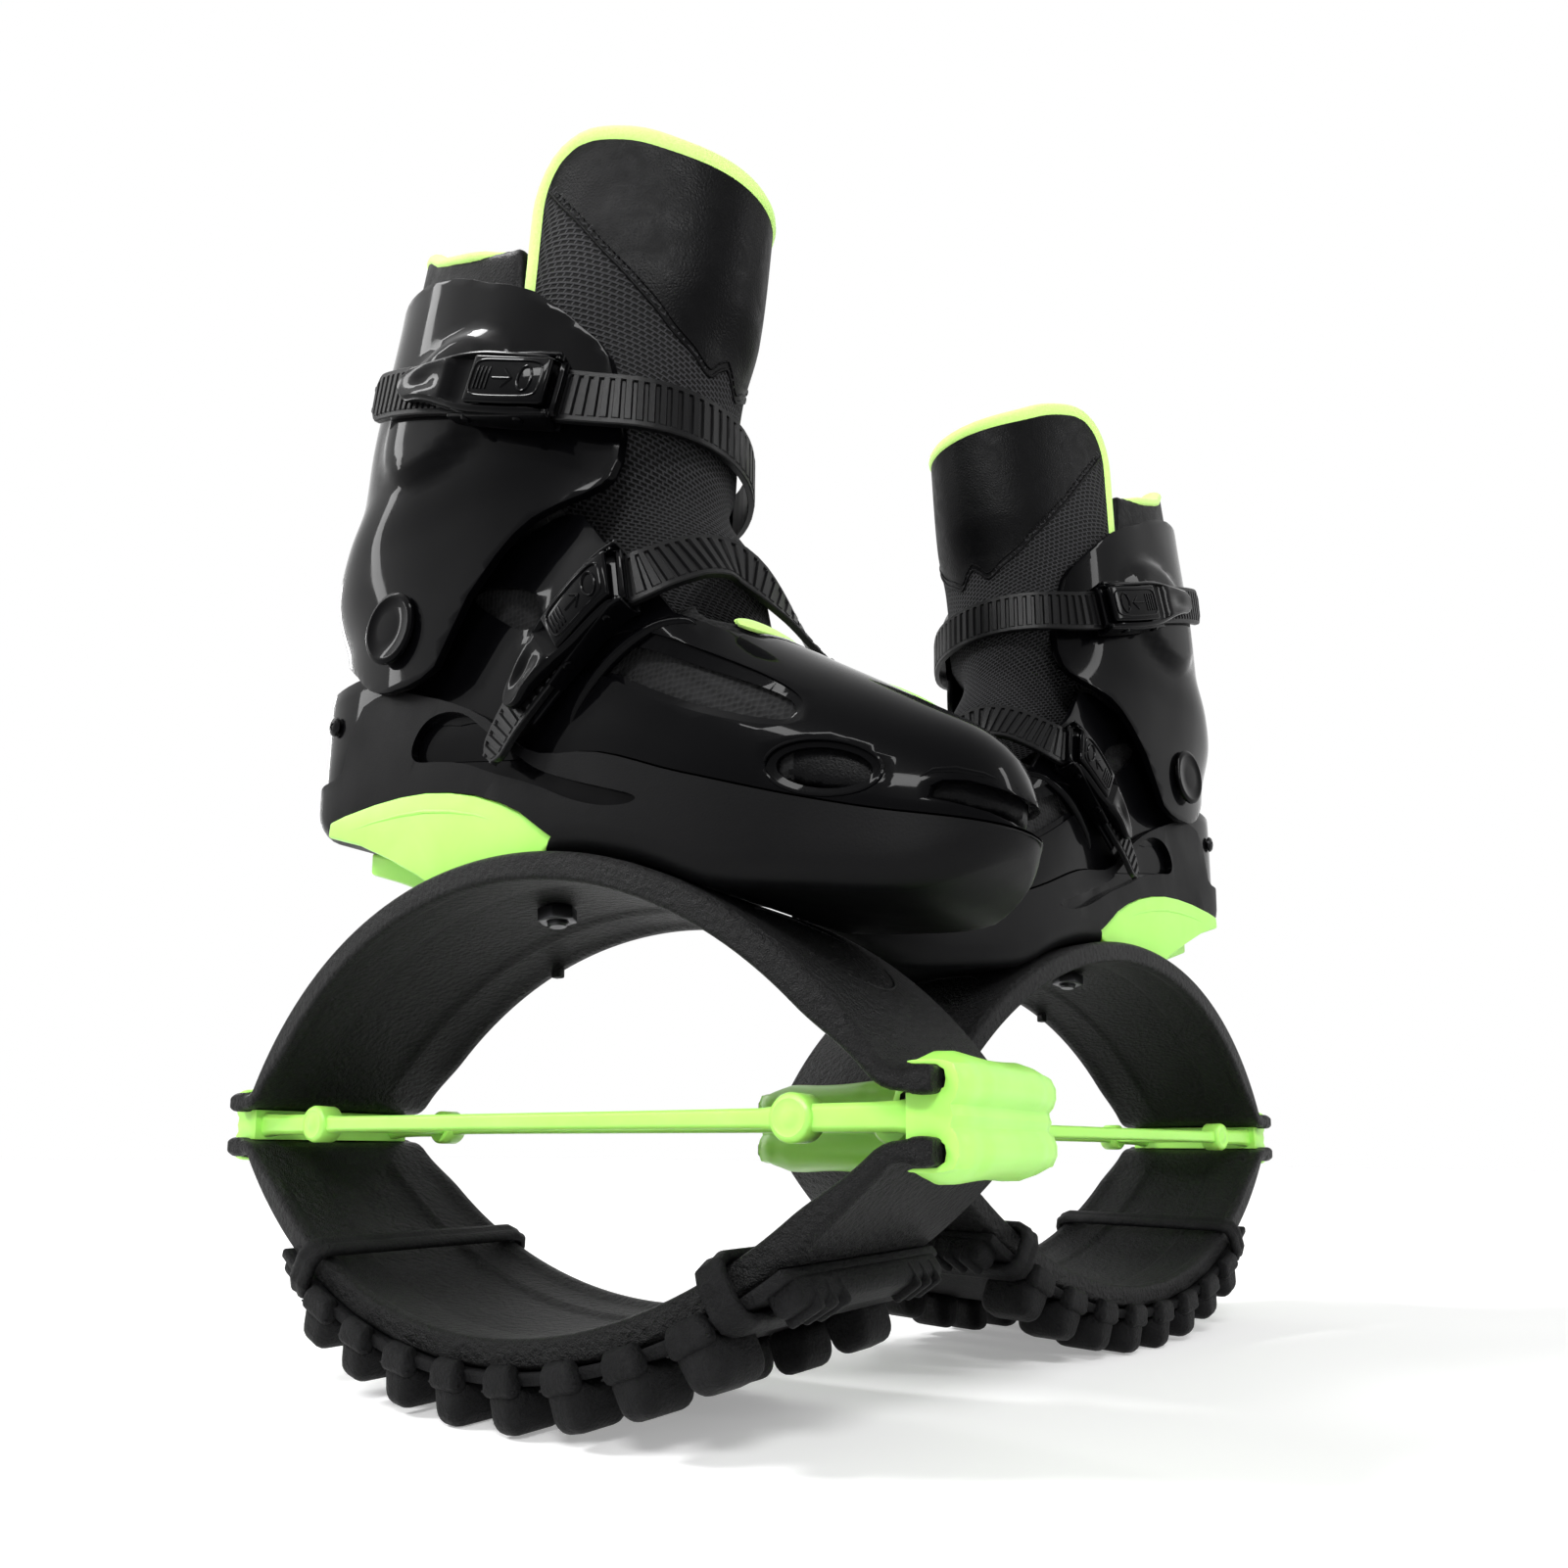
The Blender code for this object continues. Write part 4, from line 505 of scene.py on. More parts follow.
# Half heights and half widths of a bar at places along it.
BAR = [(0, 3.0, 3.1), (60, 3.0, 3.1), (104, 3.1, 3.2), (110, 3.6, 3.4), (122, 4.1, 3.6),
       (140, 4.2, 3.5), (150, 4.5, 3.4), (156, 5.4, 3.4), (164, 6.2, 3.4)]
# A head's upper half from the side: out past the tip of the lip, and up from the waist.
HEAD_SIDE = [(-10.5, 6.3), (-6, 6.2), (-1.5, 6.3), (0.8, 7.6), (1.2, 9.8), (0.8, 12.2),
             (-1.5, 13.6), (-6, 13.9), (-8.6, 14.0), (-10.2, 15.2), (-9.8, 17.2), (-7.4, 18.4),
             (-2.6, 18.2), (2.4, 16.6), (5.6, 14.0), (7.2, 10.6), (7.2, 7.4), (5.8, 4.6),
             (4.1, 3.0), (4.3, 1.6), (4.9, 0.0)]
LOBE_HEIGHT, LOBE_ROOT = 18.5, 14.5

# Lime thermoplastic of the tension spring and heel pieces, injection moulded: bright, slightly
# waxy, with soft flow marks of 25 mm that shift its tone a little.
LIME, tree, shader = finish("lime_elastomer", "#aef468", 0.36, Subsurface_Weight=0.12,
                            Subsurface_Scale=0.004)
where = add(tree, "TexCoord").outputs["Object"]
flow = add(tree, "TexNoise", {"Vector": where, "Scale": 40.0, "Detail": 4.0, "Distortion": 0.8})
shade = add(tree, "Mix", {0: flow.outputs["Fac"], 6: paint("#a6ef5e"), 7: paint("#b6f974")},
            data_type="RGBA")
tree.links.new(shade.outputs[2], shader.inputs["Base Color"])
bump = add(tree, "Bump", {"Height": flow.outputs["Fac"], "Strength": 0.12, "Distance": 0.001})
tree.links.new(bump.outputs["Normal"], shader.inputs["Normal"])


def turned(profile, steps=32):
    """A form spun about z from (radius, z) points, closed where the radius is nought."""
    form = bmesh.new()
    verts = [form.verts.new((radius, 0, z)) for radius, z in profile]
    edges = [form.edges.new(ends) for ends in zip(verts, verts[1:])]
    bmesh.ops.spin(form, geom=verts + edges, cent=(0, 0, 0), axis=(0, 0, 1), angle=2 * pi,
                   steps=steps, use_merge=True)
    bmesh.ops.remove_doubles(form, verts=form.verts, dist=0.005)
    bmesh.ops.recalc_face_normals(form, faces=form.faces)
    return form


def aimed(place, direction):
    """A matrix that turns z to a direction and moves the origin to a place."""
    turn = Vector((0, 0, 1)).rotation_difference(Vector(direction).normalized())
    return Matrix.Translation(place) @ turn.to_matrix().to_4x4()


spring = bmesh.new()
for side in (-1, 1):
    rings = []
    for x, h, w in [(-x, h, w) for x, h, w in reversed(BAR[1:])] + BAR:
        rings.append([Vector((x, side * BAR_SPREAD / 2 + y * w, z * h))
                      for y, z in ((-1, 0.62), (-0.62, 1), (0.62, 1), (1, 0.62),
                                   (1, -0.62), (0.62, -1), (-0.62, -1), (-1, -0.62))])
    added(spring, opened(shaped(sleeve(rings), [rounded(0.5, 2, 20)])))
for end in (-1, 1):
    added(spring, block((8, BAR_SPREAD, 6.0), (end * RUNG_PLACE, 0, 0), 1.2, 3))
    for side in (-1, 1):
        knob = turned([(0, -5.2), (6.4, -5.2), (7.4, -4.2), (7.5, 3.6), (6.9, 4.7), (5.6, 5.2),
                       (5.1, 4.9), (3.0, 4.9), (2.2, 5.4), (0, 5.6)], 28)
        added(spring, knob, aimed((end * RUNG_PLACE, side * BAR_SPREAD / 2, 0), (0, side, 0)))

# Each head is drawn across the shoe in 33 sections that sink between and beside its lobes.
for end in (-1, 1):
    rings = []
    for k in range(33):
        y = HEAD_WIDTH / 2 * sin(pi / 2 * (2 * k / 32 - 1))
        far = abs(y) / (HEAD_WIDTH / 2)
        lobe = 1 - 0.24 * eased(0.55, 1, far) ** 1.5 - 0.04 * cos(far * pi)
        step = 0.7 * eased(0.56, 0.60, far)
        ring = []
        for out, z in HEAD_SIDE + [(out, -z) for out, z in reversed(HEAD_SIDE[:-1])]:
            tall = abs(z)
            if tall > LOBE_ROOT:
                tall = LOBE_ROOT + (tall - LOBE_ROOT) * max(
                    0.15, (lobe * LOBE_HEIGHT - LOBE_ROOT) / (LOBE_HEIGHT - LOBE_ROOT))
            if out > 2:
                out -= step * eased(3, 7, tall) + 1.6 * eased(0.8, 1, far)
            ring.append(Vector((end * (LIP_TIP + out), y, copysign(tall, z))))
        rings.append(ring)
    added(spring, opened(shaped(sleeve(rings), [rounded(0.6, 2, 35)])))
spring.transform(Matrix.Translation((0, 0, WAIST)))
pair("lime_tension_spring", shaped(spring), [LIME], ["tension_spring"], "rings",
     sharp=45)


# Heel pieces. Two wedges of moulded lime plastic sit in pockets in the sole's sides and a block
# of it fills the space under the heel. All three rest on the ring and carry the heel.
SIDES = ((-1, "outer"), (1, "inner"))
# The boot's outlines are shares: along it from heel to toe, and up from the ring's top.
BOOT_LENGTH = 328.0
HEEL_REACH = 149.0
BOOT_HEIGHT = 277.0
BOTTOM = ((0, 0.162), (0.04, 0.123), (0.085, 0.101), (0.155, 0.079), (0.271, 0.047),
          (0.393, 0.004), (0.454, -0.007), (0.534, -0.014), (0.637, -0.043), (0.723, -0.076),
          (0.811, -0.09), (0.912, -0.101), (0.966, -0.079), (1, -0.047))
INSERT_TOP = ((0.122, 0.116), (0.15, 0.121), (0.21, 0.126), (0.26, 0.1265), (0.305, 0.123),
              (0.35, 0.114), (0.393, 0.101), (0.435, 0.082), (0.47, 0.061), (0.521, 0.018))
INSERT_LOW = ((0.119, 0.094), (0.18, 0.072), (0.241, 0.04), (0.296, 0.007))
INSERT_SEAT = (0.326, 0.38, 0.42, 0.45, 0.50)
# How far out the inner and the outer face of each wedge lie.
INSERT_FACES = (27.6, 40.9)
PLUG_LOW = ((0.14, 0.047), (0.198, 0.025), (0.271, -0.007))
PLUG_HALF = 25


def smooth(table, share):
    """A smooth curve through a table of (share, value) points that never overshoots them."""
    last = len(table) - 1
    if share <= table[0][0]:
        return table[0][1]
    if share >= table[last][0]:
        return table[last][1]
    seg = 0
    while share > table[seg + 1][0]:
        seg += 1

    def chord(k):
        return (table[k + 1][1] - table[k][1]) / (table[k + 1][0] - table[k][0])

    def slope(k):
        if k == 0:
            return chord(0)
        if k == last:
            return chord(last - 1)
        before, after = chord(k - 1), chord(k)
        return 0.0 if before * after <= 0 else 2 * before * after / (before + after)

    (x0, y0), (x1, y1) = table[seg], table[seg + 1]
    width = x1 - x0
    t = (share - x0) / width
    bend = t * (1 - t) ** 2 * slope(seg) - t * t * (1 - t) * slope(seg + 1)
    return y0 + t * t * (3 - 2 * t) * (y1 - y0) + width * bend


def along(share):
    """Place along the shoe for a share of the boot's length."""
    return -HEEL_REACH + share * BOOT_LENGTH


def share_at(x):
    """Share of the boot's length at a place along the shoe."""
    return (x + HEEL_REACH) / BOOT_LENGTH


def height(share):
    """Height above the floor for a share of the boot's height."""
    return RING_TOP + share * BOOT_HEIGHT


def side_points(shares):
    """A side outline's points for pairs of shares."""
    return [(along(s), height(h)) for s, h in shares]


def ring_seat(x):
    """Height just clear of the upper leaf's top face."""
    radius, centre, half, limit = leaf_shape(UPPER_RISE)
    return upper_level + centre + sqrt(max((radius + LEAF_THICKNESS / 2) ** 2 - x * x, 0)) + 0.9


def slab(outline, near, far):
    """A side outline pushed across the shoe; near and far give y, as numbers or functions."""
    form = bmesh.new()
    first = [form.verts.new((x, 0, z)) for x, z in outline]
    face = form.faces.new(first)
    pushed = bmesh.ops.extrude_face_region(form, geom=[face])
    second = [v for v in pushed["geom"] if isinstance(v, bmesh.types.BMVert)]
    for verts, y in ((first, near), (second, far)):
        for vert in verts:
            vert.co.y = y(vert.co.x, vert.co.z) if callable(y) else y
    bmesh.ops.triangulate(form, faces=[f for f in form.faces if len(f.verts) > 4])
    bmesh.ops.recalc_face_normals(form, faces=form.faces)
    return form


insert_side = (side_points(INSERT_LOW) + [(along(s), ring_seat(along(s))) for s in INSERT_SEAT]
               + side_points(reversed(INSERT_TOP)))
for side, name in SIDES:
    form = slab(insert_side, *(side * face for face in INSERT_FACES))
    form = opened(shaped(form, [rounded(1.1, 3, 30)]))
    crest = [Vector((along(s), side * (INSERT_FACES[1] - 0.3), height(h) - 7.5))
             for s, h in INSERT_TOP[1:-2]]
    added(form, tube(crest, lambda s: 0.2 + 0.7 * sin(pi * s), 8))
    pair(f"{name}_heel_wedge", shaped(form), [LIME], [f"{name}_heel_insert"], "boot",
         sharp=30)


def sole_bottom(x):
    """Height of the sole's underside, which rests on the ring where they meet."""
    return max(height(smooth(BOTTOM, share_at(x))), ring_seat(x))


plug_side = (side_points(PLUG_LOW) + [(along(s), ring_seat(along(s))) for s in (0.315, 0.345)]
             + [(along(s), sole_bottom(along(s)) - 0.6) for s in (0.345, 0.27, 0.2, 0.14)])
plug = shaped(slab(plug_side, -PLUG_HALF, PLUG_HALF), [rounded(1.6, 3, 30)])
pair("heel_block", plug, [LIME], ["heel_plug"], "boot", sharp=30)


# Sole. A moulded tray of satin black ABS under the whole boot, seated on the ring by a shallow
# saddle. Its side has a long recess below the ankle, polished like the shell.
HALF_WIDTH = 47.0
FLOOR = ((0, 0.199), (0.12, 0.191), (0.30, 0.17), (0.454, 0.137), (0.567, 0.117),
         (0.704, 0.056), (0.838, 0.002), (0.915, -0.02), (1, -0.032))
SEAM = ((0, 0), (0.12, 0), (0.14, 0.054), (0.162, 0.101), (0.226, 0.116), (0.284, 0.101),
        (0.396, 0.065), (0.479, 0.011), (0.521, 0), (1, 0))
RIDGE = ((0, 0.747), (0.576, 0.747), (0.622, 0.549), (0.668, 0.386), (0.723, 0.282),
         (0.79, 0.224), (0.854, 0.175), (0.909, 0.132), (0.96, 0.09), (0.985, 0.054), (1, 0.004))
SHELL_WIDTH = ((0, 0.755), (0.149, 0.755), (0.271, 0.777), (0.393, 0.809), (0.515, 0.872),
               (0.637, 0.968), (0.759, 1), (0.881, 0.957), (1, 0.894))
SOLE_WIDTH = ((0, 0.83), (0.149, 0.83), (0.271, 0.851), (0.393, 0.883), (0.515, 0.926),
              (0.637, 0.989), (0.759, 1.017), (0.881, 0.979), (1, 0.915))
# How squarely the plan closes at the heel and at the toe, and the shell's section at its top.
PLAN_POWERS = (9, 5)
DOME_POWER = 2.2
RECESS_DEPTH = 3.2
# The recess from the side, in millimetres: forward of the ring's middle, and up from the floor.
RECESS = ((-60, 245), (-57, 252), (-50, 257), (-39, 257.6), (-27, 254), (-14, 243.5),
          (0, 233.6), (13, 223.8), (30, 216.6), (48, 210), (65, 203.8), (60, 201.8), (46, 204),
          (31, 209.4), (13, 218.4), (-10, 227), (-26, 234.4), (-44, 238.6), (-56, 240.4))

# Sanded ABS of the sole: the same black, smoother and duller than the springs, with the very
# fine spark-eroded texture of a mould, drawn at 0.7 mm.
SATIN, tree, shader = finish("satin_abs", "#09090a", 0.40, Specular_IOR_Level=0.07)
where = add(tree, "TexCoord").outputs["Object"]
fine = add(tree, "TexNoise", {"Vector": where, "Scale": 1400.0, "Detail": 2.0})
bump = add(tree, "Bump", {"Height": fine.outputs["Fac"], "Strength": 0.22, "Distance": 0.0002})
tree.links.new(bump.outputs["Normal"], shader.inputs["Normal"])
worn = add(tree, "TexNoise", {"Vector": where, "Scale": 30.0, "Detail": 5.0})
tone = add(tree, "MapRange", {"Value": worn.outputs["Fac"], "From Min": 0.3, "From Max": 0.7,
                              "To Min": 0.38, "To Max": 0.52})
tree.links.new(tone.outputs["Result"], shader.inputs["Roughness"])

# Polished ABS of the shells and buckles: nearly a black mirror, with the faint waviness of
# 36 mm that moulding leaves and dust that dulls it in patches of 17 mm. A wide, dim glow under
# the sharp reflections is the light that scatters just below the surface.
GLOSS, tree, shader = finish("polished_abs", "#030304", 0.32, Specular_IOR_Level=0.010,
                             Coat_Weight=1.0, Coat_IOR=1.11, Coat_Roughness=0.04)
where = add(tree, "TexCoord").outputs["Object"]
wave = add(tree, "TexNoise", {"Vector": where, "Scale": 28.0, "Detail": 1.0})
bump = add(tree, "Bump", {"Height": wave.outputs["Fac"], "Strength": 0.10, "Distance": 0.004})
tree.links.new(bump.outputs["Normal"], shader.inputs["Normal"])
tree.links.new(bump.outputs["Normal"], shader.inputs["Coat Normal"])
dust = add(tree, "TexNoise", {"Vector": where, "Scale": 60.0, "Detail": 8.0, "Roughness": 0.7})
tone = add(tree, "MapRange", {"Value": dust.outputs["Fac"], "From Min": 0.45, "From Max": 0.8,
                              "To Min": 0.03, "To Max": 0.12})
tree.links.new(tone.outputs["Result"], shader.inputs["Coat Roughness"])


def floor_height(x):
    """Height of the foot shell's lower edge."""
    return height(smooth(FLOOR, share_at(x)))


def round_off(share, powers=PLAN_POWERS):
    """How far a plan outline has closed in near its back and its front."""
    power = powers[0] if share < 0.5 else powers[1]
    return sqrt(max(0, 1 - abs(1 - 2 * share) ** power))


def plan_ring(back, front, half, level, steps=52, powers=PLAN_POWERS):
    """A closed plan outline; half and level are functions of x."""
    side = []
    for i in range(steps + 1):
        share = (1 - cos(pi * i / steps)) / 2
        x = back + share * (front - back)
        wide = 0 if i in (0, steps) else half(x) * round_off(share, powers)
        side.append((x, wide, level(x)))
    ring = side + [(x, -y, z) for x, y, z in reversed(side[1:-1])]
    return [Vector(point) for point in ring]


def strip_filled(rings):
    """A closed form through plan rings, whose end caps are strips across the shoe."""
    form = sleeve(rings, cap=False)
    form.verts.ensure_lookup_table()
    for ring in (rings[0], rings[-1]):
        spots = {tuple(round(c, 3) for c in v.co): v for v in form.verts}
        found = [spots[tuple(round(c, 3) for c in point)] for point in ring]
        count = len(found)
        for i in range(1, count // 2 - 1):
            form.faces.new([found[i], found[i + 1], found[count - i - 1], found[count - i]])
        form.faces.new([found[0], found[1], found[-1]])
        form.faces.new([found[count // 2 - 1], found[count // 2], found[count // 2 + 1]])
    bmesh.ops.triangulate(form, faces=form.faces)
    bmesh.ops.recalc_face_normals(form, faces=form.faces)
    return form


def tray():
    """The sole's solid: a rolled lower edge, then straight sides up to the shell's seam."""
    def outer(shrink):
        return lambda x: HALF_WIDTH * smooth(SOLE_WIDTH, share_at(x)) - shrink

    def top(x):
        return floor_height(x) - 0.8 + BOOT_HEIGHT * smooth(SEAM, share_at(x))

    def lift(rise, share=0.0):
        def level(x):
            low = min(sole_bottom(x) + rise, top(x) - 0.4)
            return low + (top(x) - low) * share
        return level

    rings = [plan_ring(along(0) + 7, along(1) - 3.5, outer(7), sole_bottom)]
    for turn, share in ((18, 0), (36, 0), (54, 0), (72, 0), (90, 0), (90, 0.34), (90, 0.67)):
        shrink = 7 * (1 - sin(radians(turn)))
        rise = 10 * (1 - cos(radians(turn)))
        rings.append(plan_ring(along(0) + shrink, along(1) - shrink / 2, outer(shrink),
                               lift(rise, share)))
    rings.append(plan_ring(along(0), along(1), outer(0), top))
    return strip_filled(rings)


def dome(inset, crown=None, levels=22):
    """The foot shell's volume, inset all round; crown lowers its top at the ankle."""
    rings = []
    for k in range(levels + 1):
        turn = pi / 2 * 0.985 * k / levels
        level_share, narrow = sin(turn) ** (2 / DOME_POWER), cos(turn) ** (2 / DOME_POWER)

        def half(x):
            return (HALF_WIDTH * smooth(SHELL_WIDTH, share_at(x)) - inset) * narrow

        def level(x):
            low, high = floor_height(x) + inset, height(smooth(RIDGE, share_at(x)))
            high = high if crown is None else min(high, crown)
            return low + level_share * (max(high - inset, low + 1.2) - low)

        rings.append(plan_ring(along(0) + inset, along(1) - inset, half, level))
    return strip_filled(rings)


def sole_y(x):
    """Half width of the sole."""
    return HALF_WIDTH * smooth(SOLE_WIDTH, share_at(x)) * round_off(share_at(x))


def softened(outline):
    """The closed outline with its corners cut twice, so that it runs as a smooth curve."""
    for _ in range(2):
        outline = [(a[0] + (b[0] - a[0]) * part, a[1] + (b[1] - a[1]) * part)
                   for a, b in zip(outline, outline[1:] + outline[:1]) for part in (0.25, 0.75)]
    return outline


def combined(base, tools, operation="DIFFERENCE"):
    """A mesh cut by, joined with or kept inside other meshes."""
    body = bpy.data.objects.new("body", base)
    bpy.context.scene.collection.objects.link(body)
    spare = [body]
    for mesh in tools:
        tool = bpy.data.objects.new("tool", mesh)
        bpy.context.scene.collection.objects.link(tool)
        spare.append(tool)
        step = body.modifiers.new("step", "BOOLEAN")
        step.operation, step.solver, step.object = operation, "EXACT", tool
        step.material_mode = "TRANSFER"
    graph = bpy.context.evaluated_depsgraph_get()
    made = bpy.data.meshes.new_from_object(body.evaluated_get(graph))
    for old in spare:
        bpy.data.objects.remove(old, do_unlink=True)
    form = bmesh.new()
    form.from_mesh(made)
    bmesh.ops.remove_doubles(form, verts=form.verts, dist=0.02)
    bmesh.ops.dissolve_degenerate(form, edges=form.edges, dist=0.01)
    form.to_mesh(made)
    form.free()
    return made


# The foot shell's seat, the wedges' pockets and the recesses are cut out of the tray. A recess
# takes the polished finish from its cutter.
tools = [shaped(dome(-0.4))]
for side in (-1, 1):
    tools.append(shaped(slab(insert_side, side * (INSERT_FACES[0] - 0.4), side * 70)))
    cutter = shaped(slab(softened(RECESS), lambda x, z: side * (sole_y(x) - RECESS_DEPTH),
                         side * 60))
    for poly in cutter.polygons:
        poly.material_index = 1
    tools.append(cutter)
mesh = combined(shaped(tray()), tools)
mesh = shaped(opened(mesh), [rounded(1.1, 3, 40)])
pair("satin_sole", mesh, [SATIN, GLOSS], ["sole_base"], "boot", sharp=35)


# Foot shell. Polished black ABS from the heel to the toe, open at the throat, with a window at
# the side of the foot, an oval hole at the toes, a slit at the tip and a hole at the ankle.
SHELL_TOP = ((1.1, 0.495), (0.756, 0.495), (0.75, 0.25), (0.729, 0.238), (0.712, 0.246),
             (0.698, 0.254), (0.668, 0.27), (0.645, 0.305), (0.622, 0.343), (0.576, 0.39),
             (0.555, 0.42), (0.534, 0.448), (0.51, 0.462), (0.485, 0.466), (0.44, 0.461),
             (0.393, 0.451), (0.33, 0.442), (0.271, 0.43), (0.2, 0.405), (0.18, 0.38),
             (0.165, 0.345), (-0.1, 0.345), (-0.1, -0.2), (1.1, -0.2))
# Openings and ridges from the side, in millimetres like the recess.
WINDOW = ((40, 253), (50, 250), (63, 242), (81, 232.4), (100, 224.6), (112, 220.6),
          (117.5, 220), (119, 223), (116, 227.6), (108, 232.6), (92, 241), (76, 248.8),
          (64, 255), (52, 259.5), (43, 258.5))
WINDOW_RIM = ((34, 254), (46, 249.6), (62, 239.8), (81, 229.6), (100, 221.8), (113, 217.8),
              (120.6, 217.6), (122.4, 221.6), (119.6, 228), (109, 236.4), (93, 246),
              (78, 254), (66, 260), (52, 264.6), (40, 262))
ANKLE = ((-37, 306), (-27, 297.6), (-16, 289.8), (-6, 283), (2, 279.6), (7.6, 281.4),
         (8.6, 286.6), (4, 294), (-6, 300), (-18, 304), (-30, 307.6))
SLIT = ((158, 191), (158.6, 194.4), (161.5, 196.4), (167, 196.6), (175, 194.8), (184, 191.6),
        (192, 188), (199, 184.4), (199, 175), (190, 178.8), (181, 183.2), (172, 187.4),
        (163, 189.8))
BROW = ((156, 197.2), (159, 199.2), (164, 199.8), (170, 198.9), (176.5, 196.6))
ARC = ((78, 262), (75, 264.6), (67, 263.8), (59, 260), (51, 255.9), (43, 251.2), (36, 246.2),
       (31, 241.4), (28.5, 237))
TOE_TILT = -12


def shell_y(x, z):
    """Half width of the foot shell at a side point."""
    share = share_at(x)
    low, high = floor_height(x), height(smooth(RIDGE, share))
    level = min(1, max(0, (z - low) / (high - low)))
    narrow = (1 - level ** DOME_POWER) ** (1 / DOME_POWER)
    return HALF_WIDTH * smooth(SHELL_WIDTH, share) * narrow * round_off(share)


def outlined(centre, length, tall, tilt, steps=28):
    """An oval side outline."""
    lean = radians(tilt)
    points = []
    for i in range(steps):
        u, w = length / 2 * cos(2 * pi * i / steps), tall / 2 * sin(2 * pi * i / steps)
        points.append((centre[0] + u * cos(lean) - w * sin(lean),
                       centre[1] + u * sin(lean) + w * cos(lean)))
    return points


def shallow(outline, depth, side):
    """A cutter for a recess of even depth in the foot shell's side."""
    return shaped(slab(outline, lambda x, z: side * (shell_y(x, z) - depth), side * 70))


def right_across(outline):
    """A cutter that runs across the whole shoe, well beyond both of its sides."""
    return shaped(slab(outline, -2 * HALF_WIDTH, 2 * HALF_WIDTH))


def on_shell(points, sink, side):
    """Side points laid on the foot shell, sunk a little into it."""
    return [Vector((x, side * (shell_y(x, z) - sink), z)) for x, z in points]


def relaxed(points, times):
    """A line's points drawn towards their neighbours; both ends stay."""
    for _ in range(times):
        points = [points[0]] + [(a + b * 2 + c) / 4 for a, b, c in
                                zip(points, points[1:], points[2:])] + [points[-1]]
    return points


# The shell is a hollow dome, cut along its top and opened by the holes. A thick arc behind the
# window, a brow over the slit and a lip round the toe hole stand out from it.
shell = combined(shaped(dome(0)), [shaped(dome(3.0))])
shell = combined(shell, [right_across(side_points(SHELL_TOP))], "INTERSECT")
TOE_HOLE = (along(0.848), height(0.034))
tools = []
for side in (-1, 1):
    tools += [shallow(softened(WINDOW_RIM), 1.3, side),
              shallow(outlined(TOE_HOLE, 36, 18, TOE_TILT), 1.1, side)]
tools += [right_across(softened(WINDOW)), right_across(outlined(TOE_HOLE, 29, 12.6, TOE_TILT)),
          right_across(softened(ANKLE)), right_across(SLIT)]
shell = combined(shell, tools)
form = opened(shaped(opened(shell), [rounded(0.7, 2, 38)]))
for side in (-1, 1):
    line = on_shell(ARC, 0.3, side)
    line = [a.lerp(b, k / 4) for a, b in zip(line, line[1:]) for k in range(4)] + [line[-1]]
    added(form, tube(relaxed(line, 3), lambda s: 0.3 + 2.0 * sin(pi * s) ** 0.6, 12,
                     outward=lambda i: Vector((0, side, 0.4))))
    added(form, tube(on_shell(BROW, 0.2, side), lambda s: 0.2 + 0.9 * sin(pi * s), 10,
                     outward=lambda i: Vector((0.3, side, 0.5))))
    lip = outlined(TOE_HOLE, 35.4, 17.4, TOE_TILT, 48)
    added(form, tube(on_shell(lip + lip[:2], 0.1, side), 0.6, 8))
pair("foot_shell_gloss", shaped(form), [GLOSS], ["foot_shell"], "boot",
     sharp=35)


# Toe strip. A thin lime band lies along the top of the toes. It is a flat cord of the heel
# pieces' plastic, thickest in its middle and sunk a third of a millimetre into the shell.
STRIP_BACK, STRIP_LENGTH, STRIP_SINK = 127, 22, 0.35
line = []
for k in range(25):
    x = STRIP_BACK + STRIP_LENGTH * k / 24
    line.append(Vector((x, 0, height(smooth(RIDGE, share_at(x))) - STRIP_SINK)))
form = tube(line, lambda s: 0.5 + 3.2 * sin(pi * s) ** 0.5, 14, 0.32,
            outward=lambda i: Vector((0.3, 0, 1)))
pair("lime_toe_strip", shaped(form), [LIME], (), "boot", sharp=60)


# Cuff. A polished tube of black ABS round the shin, hinged on the ankle rivets, with an oval
# boss on its outer side that the top buckle sits on.

# Share of height, then back, front and half width as shares.
SHAFT = ((0.249, 0.046, 0.735, 0.979), (0.386, 0.04, 0.701, 0.989), (0.487, 0.015, 0.655, 1.011),
         (0.549, 0.037, 0.643, 1.043), (0.61, 0.073, 0.646, 1.053), (0.697, 0.085, 0.659, 1.053),
         (0.78, 0.104, 0.683, 1.053), (0.888, 0.134, 0.698, 1.053), (1.06, 0.168, 0.71, 1.064))
SHAFT_POWERS = (3, 2.7)
SHAFT_WALL = 3.2
BOSS = (-40.0, 377.0)
BOSS_HEIGHT = 3.6
CUFF_SIDE = ((0.28, 0.278), (0.308, 0.281), (0.332, 0.291), (0.354, 0.325), (0.387, 0.375),
             (0.43, 0.415), (0.456, 0.436), (0.482, 0.451), (0.512, 0.46), (0.543, 0.468),
             (0.562, 0.478), (0.57, 0.49), (0.576, 0.512), (0.579, 0.549), (0.577, 0.6),
             (0.57, 0.65), (0.56, 0.672), (0.546, 0.69), (0.516, 0.728), (0.485, 0.762),
             (0.45, 0.789), (0.412, 0.812), (0.38, 0.836), (0.348, 0.856), (0.302, 0.877),
             (0.241, 0.895), (0.1, 0.908), (-0.1, 0.917), (-0.1, 0.404), (0.0, 0.402),
             (0.064, 0.397), (0.09, 0.386), (0.113, 0.372), (0.135, 0.355), (0.155, 0.336),
             (0.175, 0.316), (0.195, 0.3), (0.218, 0.288), (0.241, 0.281))


